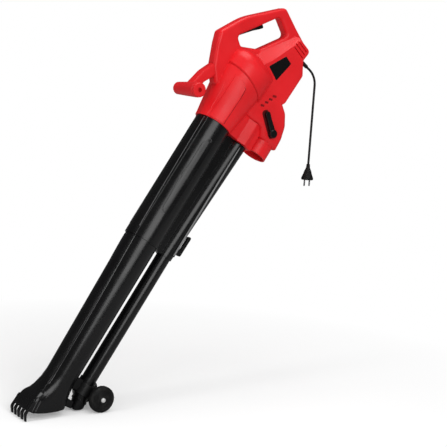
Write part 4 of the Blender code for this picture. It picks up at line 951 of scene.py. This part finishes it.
@dataclass
class PowerCord:
    """The mains lead: out of the underside through its strain relief, and straight down."""

    radius: float = 0.0034
    length: float = 0.300
    relief_along: float = COLLAR + 0.325
    relief_end: float = -0.131 - 0.040 - 0.0003
    straight: float = 0.012
    bend: float = 0.055
    bend_steps: int = 10
    drop_steps: int = 14
    collars: int = 8
    collar_top: float = -0.134
    collar_run: float = 0.036
    collar_radius: float = 0.0062
    collar_taper: float = 0.0014
    grip: Spots = ((0.0125, 0.0063), (0.0160, 0.0080), (0.0195, 0.0098), (0.0230, 0.0110))

    def route(self) -> list[Vector]:
        """Lays out the centre line in the machine's frame.

        Returns:
            Its points, from the strain relief to the plug.
        """
        start = Vector((self.relief_along, 0, self.relief_end))
        out, down = Vector((0, 0, -1)), MACHINE.down()
        sweep = out.angle(down)
        side = (down - out * math.cos(sweep)).normalized()
        points = [start, start + out * self.straight]
        for step in range(1, self.bend_steps + 1):
            turn = sweep * step / self.bend_steps
            ahead = self.straight + self.bend * math.sin(turn)
            points.append(start + out * ahead + side * self.bend * (1 - math.cos(turn)))
        drop = down * (self.length - self.straight - self.bend * sweep)
        corner = points[-1]
        steps = range(1, self.drop_steps + 1)
        return points + [corner + drop * step / self.drop_steps for step in steps]

    def build_flex(self, finishes: Finishes) -> Piece:
        """Makes the hanging flex as one open curve.

        Args:
            finishes: the machine's materials.

        Returns:
            The flex.
        """
        points = [MACHINE.place(point) for point in self.route()]
        flex = round_curve("hanging_flex", points, 2 * self.radius, smoothness=6)
        flex.data.materials.append(finishes.flex)
        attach(flex, BODY)
        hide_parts("power_cord")
        return flex

    def build_relief_collars(self, finishes: Finishes) -> Piece:
        """Makes the collars that stiffen the strain relief's tail.

        Args:
            finishes: the machine's materials.

        Returns:
            The collars as one piece.
        """
        runs = []
        for step in range(self.collars):
            share = (step + 0.7) / self.collars
            height = self.collar_top - self.collar_run * share
            radius = self.collar_radius - self.collar_taper * share
            runs.append((Vector((self.relief_along, 0, height)), radius))
        collars = Blank.rings("relief_collars", runs, 0.0018, Vector((0, 0, -1)), 24)
        return collars.done(finishes.black, Slot.BLACK)

    def build_plug_grip(self, finishes: Finishes) -> Piece:
        """Makes the finger ribs round the plug body's neck and shoulder.

        Args:
            finishes: the machine's materials.

        Returns:
            The ribs as one piece.
        """
        end, down = self.route()[-1], MACHINE.down()
        runs = [(end + down * run, radius) for run, radius in self.grip]
        ribs = Blank.rings("plug_finger_ribs", runs, 0.0016, down, 32)
        return ribs.done(finishes.black, Slot.BLACK)

    def build(self, finishes: Finishes) -> None:
        """Args:
            finishes: the machine's materials.
        """
        flex = self.build_flex(finishes)
        ribs = self.build_relief_collars(finishes)
        grip = self.build_plug_grip(finishes)
        leaving = MACHINE.place(self.route()[0])
        log.info("cord %.3f m from %s", self.length, tuple(round(x, 4) for x in leaving))


@dataclass
class TubeDress:
    """Moulded relief on the tubes: shallow pads, fine beads and the blow channel's rails.

    A place on the tube is how far along it is and its angle in degrees from the top.
    """

    radius: float = 0.0515
    rise: float = 0.0006
    pad_width: float = 0.0125
    upper_pad: Spots = ((0.652, 63.0), (0.779, 75.5))
    lower_pad: Spots = ((0.542, 70.5), (0.645, 62.5))
    bead: float = 0.0018
    top_hook: Spots = ((0.770, 83.0), (0.779, 84.0), (0.787, 78.0), (0.781, 70.0), (0.762, 66.0))
    foot_hook: Spots = ((0.552, 78.0), (0.541, 78.0), (0.534, 72.0), (0.538, 65.0), (0.548, 62.0))
    spine: float = 0.0026
    upper_spine: Spots = ((0.832, 0.0190), (0.752, 0.0204), (0.590, 0.0228), (0.4530, 0.0262))
    lower_spine: Spots = (
        (0.4440, 0.0262), (0.365, 0.0265), (0.150, 0.0275), (0.031, 0.0262), (-0.012, 0.0290))
    rail: Pair = (0.462, 0.831)
    rail_up: float = -0.1000
    rail_width: float = 0.0056
    rail_tilt: float = math.radians(24.0)

    def on_tube(self, along: float, angle: float, side: Side, lift: float = 0.0) -> Vector:
        """Returns the point that lies so far off the tube at a place on a side."""
        turn, radius = math.radians(angle), self.radius + lift
        return Vector((along, side.value * radius * math.sin(turn), radius * math.cos(turn)))

    def build_pad(self, name: str, side: Side, ends: Spots, finish: Material) -> Piece:
        """Makes one long pad with round ends that lies on the tube.

        Args:
            name: the piece's name.
            side: the tube's side.
            ends: the places of its two ends.
            finish: its material.

        Returns:
            The finished pad.
        """
        (start, first), (end, last) = ends
        length, half = end - start, self.pad_width / 2

        def lie(run: float, over: float) -> Vector:
            """Lays a point of the pad on the tube.

            Args:
                run: how far from the pad's middle it lies along.
                over: how far it lies across.

            Returns:
                The machine's point.
            """
            share = run / length + 0.5
            past = max(0.0, abs(run) - (length / 2 - half))
            room = math.sqrt(max(0.0, 1 - (past / half) ** 2))
            angle = math.degrees(over * max(room, 0.05) / self.radius)
            angle += first + (last - first) * share
            return self.on_tube(start + length * share, angle, side, 0.0001)

        blank = Blank.sheet(name, (length, self.pad_width), (64, 6), lie, self.rise * 2)
        return blank.rounded(self.rise * 0.45, 2, 50.0).merged().done(finish, Slot.BLACK)

    def build_spine_bead(
            self, name: str, node: str, side: Side, spots: Spots, finish: Material,
    ) -> Piece:
        """Makes the fine bead that runs down the spine's edge.

        Args:
            name: the piece's name.
            node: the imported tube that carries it.
            side: the tube's side.
            spots: the places that it passes, so far along and so far across.
            finish: its material.

        Returns:
            The finished bead.
        """
        probe, sink = Probe(node), self.spine * 0.15
        way = on_the_way(spots, 6, 6)
        points = [probe.above(along, side.value * across, sink) for along, across in way]
        return bead_along(name, points, self.spine, finish)

    def build_blow_rail(self, name: str, side: Side, finish: Material) -> Piece:
        """Makes the slanted rail along the blow channel's side, from its socket to the housing.

        Args:
            name: the piece's name.
            side: the channel's side.
            finish: its material.

        Returns:
            The finished rail.
        """
        start, end = self.rail
        middle = (start + end) / 2
        reach = abs(Probe("upper_tube").beside(side, middle, self.rail_up).y) - 0.0004

        def lie(run: float, over: float) -> Vector:
            """Lays a point of the rail beside the channel.

            Args:
                run: how far from the rail's middle it lies along.
                over: how far it lies up the rail's slope.

            Returns:
                The machine's point.
            """
            out = reach + max(0.0, self.rail_width / 2 - over) * math.sin(self.rail_tilt)
            up = self.rail_up + over * math.cos(self.rail_tilt)
            return Vector((middle + run, side.value * out, up))

        blank = Blank.sheet(name, (end - start, self.rail_width), (40, 3), lie, 0.0024)
        return blank.rounded(0.0004, 2, 50.0).merged().done(finish, Slot.BLACK)

    def build(self, finishes: Finishes) -> None:
        """Makes the relief on both sides of the tube.

        Args:
            finishes: the machine's materials.
        """
        for side in Side:
            # The beads, hooks and rails wear the lighter black: a painted highlight along them.
            tag, bright = side.tag, finishes.bright
            self.build_pad(f"upper_pad_{tag}", side, self.upper_pad, finishes.tube)
            self.build_pad(f"lower_pad_{tag}", side, self.lower_pad, finishes.tube)
            for end, spots in (("top", self.top_hook), ("foot", self.foot_hook)):
                points = [self.on_tube(along, angle, side) for along, angle in spots]
                bead_along(f"pad_hook_{end}_{tag}", points, self.bead, bright, soft=True)
            for name, node, spots in (
                    ("upper", "upper_tube", self.upper_spine),
                    ("lower", "lower_suction_tube", self.lower_spine)):
                self.build_spine_bead(f"spine_bead_{name}_{tag}", node, side, spots, bright)
            self.build_blow_rail(f"blow_rail_{tag}", side, bright)


@dataclass
class BootDress:
    """The nozzle boot's edge: its squared shoulder over the teeth's roots and its corner beads."""

    bead: float = 0.0026
    shifts: Pair = (0.0, 0.0085)
    bead_from: Pair = (-0.086, 0.0368)
    bead_run: Pair = (0.030, 0.003)
    lip: float = -0.0885
    fade: float = -0.030
    full: float = -0.060
    last_probed: float = -0.078
    spread: Pair = (78.0, 69.0)
    core: float = 0.012
    half_width: float = 0.0464
    top: float = 0.0497
    square: float = 7.0
    tuck_from: float = 0.88

    def section(self, probe: Probe, along: float, angle: float) -> Pair:
        """Finds the boot's and the shoulder's radius in one direction round the boot's core.

        Args:
            probe: the boot's surface.
            along: how far along the section lies.
            angle: the direction, from straight up.

        Returns:
            The boot's bare radius and the shoulder's.
        """
        way = Vector((0, math.sin(angle), math.cos(angle)))
        core = Vector((along, 0, self.core))
        bare = (probe.hit(core + way * CLEAR_OF_ALL, -way) - core).length
        tall = self.top + 0.035 * (-0.070 - along) - self.core
        wide, high = abs(way.y) / self.half_width, abs(way.z) / tall
        squared = (wide ** self.square + high ** self.square) ** (-1 / self.square)
        share = min(1.0, max(0.0, (self.fade - along) / (self.fade - self.full)))
        blend = share * share * (3 - 2 * share)
        return bare, max(bare + 0.0003, bare + (squared - bare) * blend)

    def build_shoulder(self, finish: Material) -> Piece:
        """Makes the squared skin over the boot's top and corners, down to the mouth's front lip.

        Args:
            finish: its material.

        Returns:
            The finished shoulder.
        """
        probe = Probe("lower_suction_tube")
        start = self.fade + 0.004

        def lie(run: float, over: float) -> Vector:
            """Lays a point of the shoulder on the boot.

            Args:
                run: its share of the shoulder's run, from the middle.
                over: its share of the spread, from the top.

            Returns:
                The machine's point.
            """
            share = run + 0.5
            reach = min(1.0, share / self.tuck_from)
            along = start + (self.lip - start) * reach
            wide, narrow = self.spread
            angle = over * 2 * math.radians(wide + (narrow - wide) * reach)
            bare, radius = self.section(probe, max(along, self.last_probed), angle)
            tuck = max(0.0, (share - self.tuck_from) / (1 - self.tuck_from))
            radius += (min(bare, radius) - 0.0025 - radius) * tuck
            return Vector((along, radius * math.sin(angle), self.core + radius * math.cos(angle)))

        blank = Blank.sheet("boot_shoulder", (1.0, 1.0), (34, 96), lie, 0.0008)
        blank.modifier("SMOOTH", factor=0.4, iterations=2)
        return blank.merged().done(finish, Slot.BLACK, 40.0)

    def build(self, finishes: Finishes) -> None:
        """Makes the shoulder, then two beads down each of its corners.

        Args:
            finishes: the machine's materials.
        """
        self.build_shoulder(finishes.tube)
        probe, sink = Probe("lower_suction_tube", "boot_shoulder"), self.bead * 0.1
        (along, up), (run, rise) = self.bead_from, self.bead_run
        for side in Side:
            for number, shift in enumerate(self.shifts, 1):
                start, foot = along + shift * 0.4, up - shift
                way = on_the_way(((start, foot), (start + run, foot + rise)), 7, 6)
                points = [probe.beside(side, reach, height, sink) for reach, height in way]
                # The beads wear the lighter black: a painted highlight along them.
                bead_along(f"boot_bead_{number}_{side.tag}", points, self.bead, finishes.bright)


@dataclass
class CrossHeadScrew:
    """A pan-head screw with a cross recess, in a moulded ring on the housing's right side."""

    ring: float = 0.0058
    ring_height: float = 0.0030
    head: float = 0.0036
    height: float = 0.0016
    cross: float = 0.0042
    slot: float = 0.0008
    deep: float = 0.0018

    def build(self, spots: Sequence[Vector], finishes: Finishes) -> None:
        """Models one screw on the surface and copies it to the other places.

        Args:
            spots: the screws' places.
            finishes: the machine's materials.
        """
        spot, axis = spots[0], Vector((0, 1, 0))
        ring = Blank.cylinder(
            "shell_screw_1_ring", self.ring, self.ring_height, spot - axis * 0.0009, axis, 36)
        ring.facing(axis).inset(0.0011).inset(0.0004, -0.0014).rounded(0.0003)
        head = Blank.cylinder(
            "shell_screw_1", self.head, self.height, spot - axis * 0.0002, axis, 32)
        head.facing(axis).inset(0.0008, 0.0004).rounded(0.00035, 3, 25.0)
        recess = spot + axis * (self.height * 0.5)
        head.less(
            Blank.block("cross", (self.cross, self.deep, self.slot), recess),
            Blank.block("cross", (self.slot, self.deep, self.cross), recess))
        rings, heads = [ring], [head]
        for number, other in enumerate(spots[1:], 2):
            rings.append(ring.copy(f"shell_screw_{number}_ring", other - spot))
            heads.append(head.copy(f"shell_screw_{number}", other - spot))
        for ring, head in zip(rings, heads):
            ring.done(finishes.red, Slot.RED)
            head.done(finishes.steel, Slot.STEEL)


@dataclass
class HousingDress:
    """Fine parts of the red housing.

    They are its screws, the slanted face over the blow duct, dark plates in the vents' slots painted
    as their shade, the cone's moulded rib and a dark bead painted as the shadow line of its panel's
    edge, the rim round the bare badge plate, and a dark plate beside the mode lever painted as the
    shade of a recess.
    """

    screws: Spots = (
        (0.020, 0.026), (0.205, 0.026), (0.360, -0.050), (0.281, -0.124),
        (0.143, -0.143), (0.105, -0.160), (0.215, 0.112), (0.379, 0.010))
    flank: float = 0.0308
    facet: Pair = (0.8364, 0.9110)
    facet_rise: float = 0.0102
    facet_ups: Triple = (-0.1145, -0.1008, -0.0750)
    facet_fall: float = 0.60
    chamfer: float = 0.0012
    chamfer_share: float = 0.05
    vents: int = 4
    vent: Triple = (COLLAR + 0.1257, 0.0414, -0.0800)
    vent_pitch: Pair = (0.0153, -0.0068)
    vent_size: Triple = (0.0059, 0.0036, 0.0129)
    vent_tilt: float = math.radians(-24.0)
    rib: Spots = ((0.932, 0.0350), (0.895, 0.0335), (0.868, 0.0300), (0.8400, 0.0260))
    rib_width: float = 0.0034
    panel: Spots = (
        (0.953, 0.0190), (0.951, 0.0135), (0.912, 0.0080), (0.8790, 0.0058), (0.8395, 0.0038))
    panel_width: float = 0.0020
    badge: Spots = ((0.2106, -0.0773), (0.2272, -0.0325), (0.2848, -0.0642), (0.2786, -0.0909))
    badge_face: float = -0.0416
    rim: float = 0.0008
    lever_pivot: Triple = (COLLAR + 0.0815, -0.0441, -0.157)
    lever_turn: float = math.radians(56.0)
    # The dark plate beside the mode lever, painted shade: its size, its middle from the pivot and its
    # corner radius.
    recess: Triple = (0.0860, 0.0002, 0.0225)
    recess_middle: Pair = (0.0300, 0.0030)
    recess_corner: float = 0.0090

    def build_duct_facet(self, side: Side, finish: Material) -> Piece:
        """Makes the slanted face that rises from the cone's foot to the duct's lower edge.

        Args:
            side: the housing's side.
            finish: its material.

        Returns:
            The finished facet.
        """
        front, rear = self.facet
        foot, crest, top = self.facet_ups
        chamfer, first = self.chamfer, self.chamfer_share

        def lie(run: float, over: float) -> Vector:
            """Lays a point of the facet over the duct.

            Args:
                run: its share of the facet's length, from the middle.
                over: its share of the facet's height, from the middle.

            Returns:
                The machine's point.
            """
            along, up = run + 0.5, over + 0.5
            near, low = min(1.0, along / first), min(1.0, up / first)
            rest = max(0.0, along - first) / (1 - first)
            reach = front + chamfer * near + (rear - front - chamfer) * rest
            rest = max(0.0, up - first) / (1 - first)
            height = foot + chamfer * low + (top - foot - chamfer) * rest
            slope = (top - height) / (top - crest)
            if height <= crest:
                slope = 1 - self.facet_fall * (crest - height) / (crest - foot)
            proud = self.facet_rise * slope * min(near, low)
            return Vector((reach, side.value * (self.flank + proud), height))

        blank = Blank.sheet(f"duct_facet_{side.tag}", (1.0, 1.0), (20, 20), lie, 0.0006)
        return blank.merged().done(finish, Slot.RED, 14.0)

    def build_vent_screens(self, side: Side, finish: Material) -> None:
        """Makes a dark plate sunk in each of the slots beside the motor: painted shade that makes the
        slots look deep.

        Args:
            side: the housing's side.
            finish: their material.
        """
        along, across, up = self.vent
        centre = Vector((along, side.value * across, up))
        name = f"vent_screen_{side.tag}_"
        first = Blank.block(name + "1", self.vent_size, centre, (0, self.vent_tilt, 0))
        first.facing(-side.inward).inset(0.0007).inset(0.0003, -0.0010)
        first.rounded(0.0002, 2, 40.0).merged()
        move = Vector((self.vent_pitch[0], 0, self.vent_pitch[1]))
        others = [first.copy(f"{name}{step + 1}", move * step) for step in range(1, self.vents)]
        for slot_plate in (first, *others):
            slot_plate.done(finish, Slot.RED)

    def build_cone_lines(self, side: Side, finishes: Finishes) -> None:
        """Makes the rib below the handle's post, and a dark bead along the raised panel's edge,
        painted as the shadow line of that edge.

        Args:
            side: the housing's side.
            finishes: the machine's materials.
        """
        probe = Probe(f"{side.tag}_housing")
        width = self.rib_width
        points = [
            probe.above(along, side.value * across, width * 0.22)
            for along, across in on_the_way(self.rib, 5, 4)]
        bead_along(f"cone_rib_{side.tag}", points, width, finishes.red, True, Slot.RED)
        # The panel's edge line is dark red: painted shadow.
        width = self.panel_width
        points = [
            probe.beside(side, along, up, width * 0.22)
            for along, up in on_the_way(self.panel, 5, 4)]
        bead_along(f"panel_edge_{side.tag}", points, width, finishes.shade, True, Slot.RED)

    def build_badge_rim(self, finish: Material) -> Piece:
        """Makes the thin raised frame round the bare plate.

        Args:
            finish: its material.

        Returns:
            The finished frame.
        """
        corners = [Vector((COLLAR + behind, self.badge_face, up)) for behind, up in self.badge]
        middle = sum(corners, Vector()) / len(corners)
        spokes = sorted((corner - middle for corner in corners), key=lambda s: math.atan2(s.z, s.x))
        Blank.clear()
        bpy.ops.mesh.primitive_plane_add(size=1.0)
        blank = Blank(bpy.context.object, "badge_rim")
        # A plane's third and fourth vertices are crossed.
        for vertex, spoke in zip((0, 1, 3, 2), spokes):
            blank.obj.data.vertices[vertex].co = middle + spoke * 0.955
        blank.merged().pick(Pick.FACES).inset(0.0009)
        blank.pick(Pick.FACES, lambda face: (face.calc_center_median() - middle).length < 0.002)
        bpy.ops.mesh.delete(type="FACE")
        blank.modifier("SOLIDIFY", thickness=self.rim, offset=0.0)
        return blank.rounded(0.00025).merged().done(finish, Slot.BLACK)

    def build_lever_recess(self, finish: Material) -> Piece:
        """Makes a thin dark plate beside the mode lever: painted shade that stands for a shallow
        recess round it.

        Args:
            finish: its material.

        Returns:
            The finished floor.
        """
        slope, rise = math.cos(self.lever_turn), math.sin(self.lever_turn)
        ahead, beside = Vector((slope, 0, rise)), Vector((-rise, 0, slope))
        centre = Vector(self.lever_pivot) + ahead * self.recess_middle[0]
        centre += beside * self.recess_middle[1]
        floor = Blank.block("lever_recess_floor", self.recess, centre, (0, -self.lever_turn, 0))
        floor.pick(Pick.EDGES, lambda edge: (
            abs((edge.verts[0].co - edge.verts[1].co).normalized().y) > 0.9))
        bpy.ops.mesh.bevel(offset=self.recess_corner, segments=8)
        return floor.done(finish, Slot.RED)

    def build(self, finishes: Finishes) -> None:
        """Makes the housing's fine parts.

        Args:
            finishes: the machine's materials.
        """
        probe = Probe("right_housing")
        spots = [probe.beside(Side.RIGHT, COLLAR + behind, up) for behind, up in self.screws]
        CrossHeadScrew().build(spots, finishes)
        for side in Side:
            self.build_duct_facet(side, finishes.red)
            self.build_vent_screens(side, finishes.shade)
            self.build_cone_lines(side, finishes)
        self.build_badge_rim(finishes.black)
        self.build_lever_recess(finishes.deep)


# Studio and camera


@dataclass(frozen=True)
class Lamp:
    """A rectangular lamp: where it hangs, the point that it faces, its size and its watts."""

    name: str
    place: Triple
    aim: Triple
    size: Pair
    power: float

    def build(self) -> None:
        """Hangs the lamp."""
        light = bpy.data.lights.new(self.name, "AREA")
        light.shape = "RECTANGLE"
        light.size, light.size_y = self.size
        light.energy = self.power
        beam = (Vector(self.aim) - Vector(self.place)).to_track_quat("-Z", "Y").to_matrix()
        lamp = linked(self.name, light)
        lamp.matrix_world = Matrix.Translation(self.place) @ beam.to_4x4()


@dataclass
class Studio:
    """A white sweep with soft light: a broad lamp in front, a long one at the left, one above."""

    floor_size: float = 9.0
    floor_level: float = -0.0004
    sky: float = 0.50
    gloss: float = 0.06
    paint: float = 0.80
    mirrored: float = 0.30
    lift: float = 0.21
    plain_from: float = 0.50
    plain_to: float = 1.35
    lamps: tuple[Lamp, ...] = (
        Lamp("broad_front", (-0.38, -2.12, 1.38), (0.0, 0.0, 0.6), (1.4, 1.8), 21.0),
        Lamp("long_left", (-2.6, -0.3, 1.5), (0.0, 0.0, 0.6), (0.35, 2.4), 9.0),
        Lamp("broad_top", (0.1, -0.3, 2.8), (0.0, 0.0, 0.5), (1.5, 1.5), 22.0),
    )

    def build_sky(self) -> None:
        """Makes the room's even light, white to the camera and dim in reflections."""
        world = bpy.data.worlds.new("studio")
        bpy.context.scene.world = world
        board = Board(world, "OutputWorld")
        rays = board.node("LightPath").outputs
        seen, lit, shiny = (
            board.node("Background", WHITE, strength).outputs[0]
            for strength in (1.0, self.sky, self.gloss))
        felt = board.node("MixShader", rays["Is Glossy Ray"], lit, shiny).outputs[0]
        shown = board.node("MixShader", rays["Is Camera Ray"], felt, seen).outputs[0]
        board.feed(board.output, shown)

    def build_floor(self) -> None:
        """Makes the pale floor, which shows as white and keeps the machine's soft shadow."""
        Blank.clear()
        bpy.ops.mesh.primitive_grid_add(x_subdivisions=24, y_subdivisions=24, size=self.floor_size)
        floor = bpy.context.object
        floor.name = "studio_floor"
        floor.data.transform(Matrix.Translation((0, 0, self.floor_level)))
        board = Board(bpy.data.materials.new("pale_floor"))
        paint, dim = (
            board.node("BsdfDiffuse", (shade, shade, shade, 1.0), 0.5).outputs[0]
            for shade in (self.paint, self.mirrored))
        glow, white = (
            board.node("Emission", WHITE, strength).outputs[0] for strength in (self.lift, 1.0))
        where = board.node("TexCoord").outputs["Object"]
        reach = board.node("VectorMath", where, operation="LENGTH").outputs["Value"]
        far = board.ranged(reach, 0.0, 1.0, self.plain_from, self.plain_to)
        lifted = board.node("AddShader", paint, glow).outputs[0]
        seen = board.node("MixShader", far, lifted, white).outputs[0]
        rays = board.node("LightPath").outputs
        felt = board.node("MixShader", rays["Is Glossy Ray"], paint, dim).outputs[0]
        shown = board.node("MixShader", rays["Is Camera Ray"], felt, seen).outputs[0]
        board.feed(board.output, shown)
        floor.data.materials.append(board.owner)

    def build(self) -> None:
        """Makes the sky, the floor and the lamps."""
        self.build_sky()
        self.build_floor()
        for lamp in self.lamps:
            lamp.build()


@dataclass
class ViewCamera:
    """The camera at the photograph's angle: its axes and its place in the machine's frame."""

    right: Triple = (0.5047, -0.5661, -0.6518)
    up: Triple = (0.8403, 0.1488, 0.5213)
    position: Triple = (0.0198, -2.5053, 1.4984)
    focal: float = 1077.9
    image: float = 447.0
    sensor: float = 36.0

    def build(self) -> None:
        """Makes the camera and gives it to the scene."""
        turn = MACHINE.matrix().to_3x3()
        right = (turn @ Vector(self.right)).normalized()
        back = right.cross(turn @ Vector(self.up)).normalized()
        stand = Matrix((right, back.cross(right), back)).transposed().to_4x4()
        data = bpy.data.cameras.new("view")
        data.sensor_width = self.sensor
        data.lens = self.focal / self.image * self.sensor
        camera = linked("view", data)
        camera.matrix_world = Matrix.Translation(MACHINE.place(self.position)) @ stand
        bpy.context.scene.camera = camera


def main() -> None:
    """Builds the camera, cord, finishes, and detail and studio."""
    logging.basicConfig(level=logging.INFO, format="%(name)s: %(message)s")
    bpy.context.scene.view_settings.view_transform = "Standard"
    ViewCamera().build()
    finishes = Finishes()
    PowerCord().build(finishes)
    finishes.dress_nodes(frame["nodes"])
    for node in SKINNED:
        MouldedSkin(node).build(finishes)
    TubeDress().build(finishes)
    BootDress().build(finishes)
    HousingDress().build(finishes)
    Studio().build()


if __name__ == "__main__":
    main()
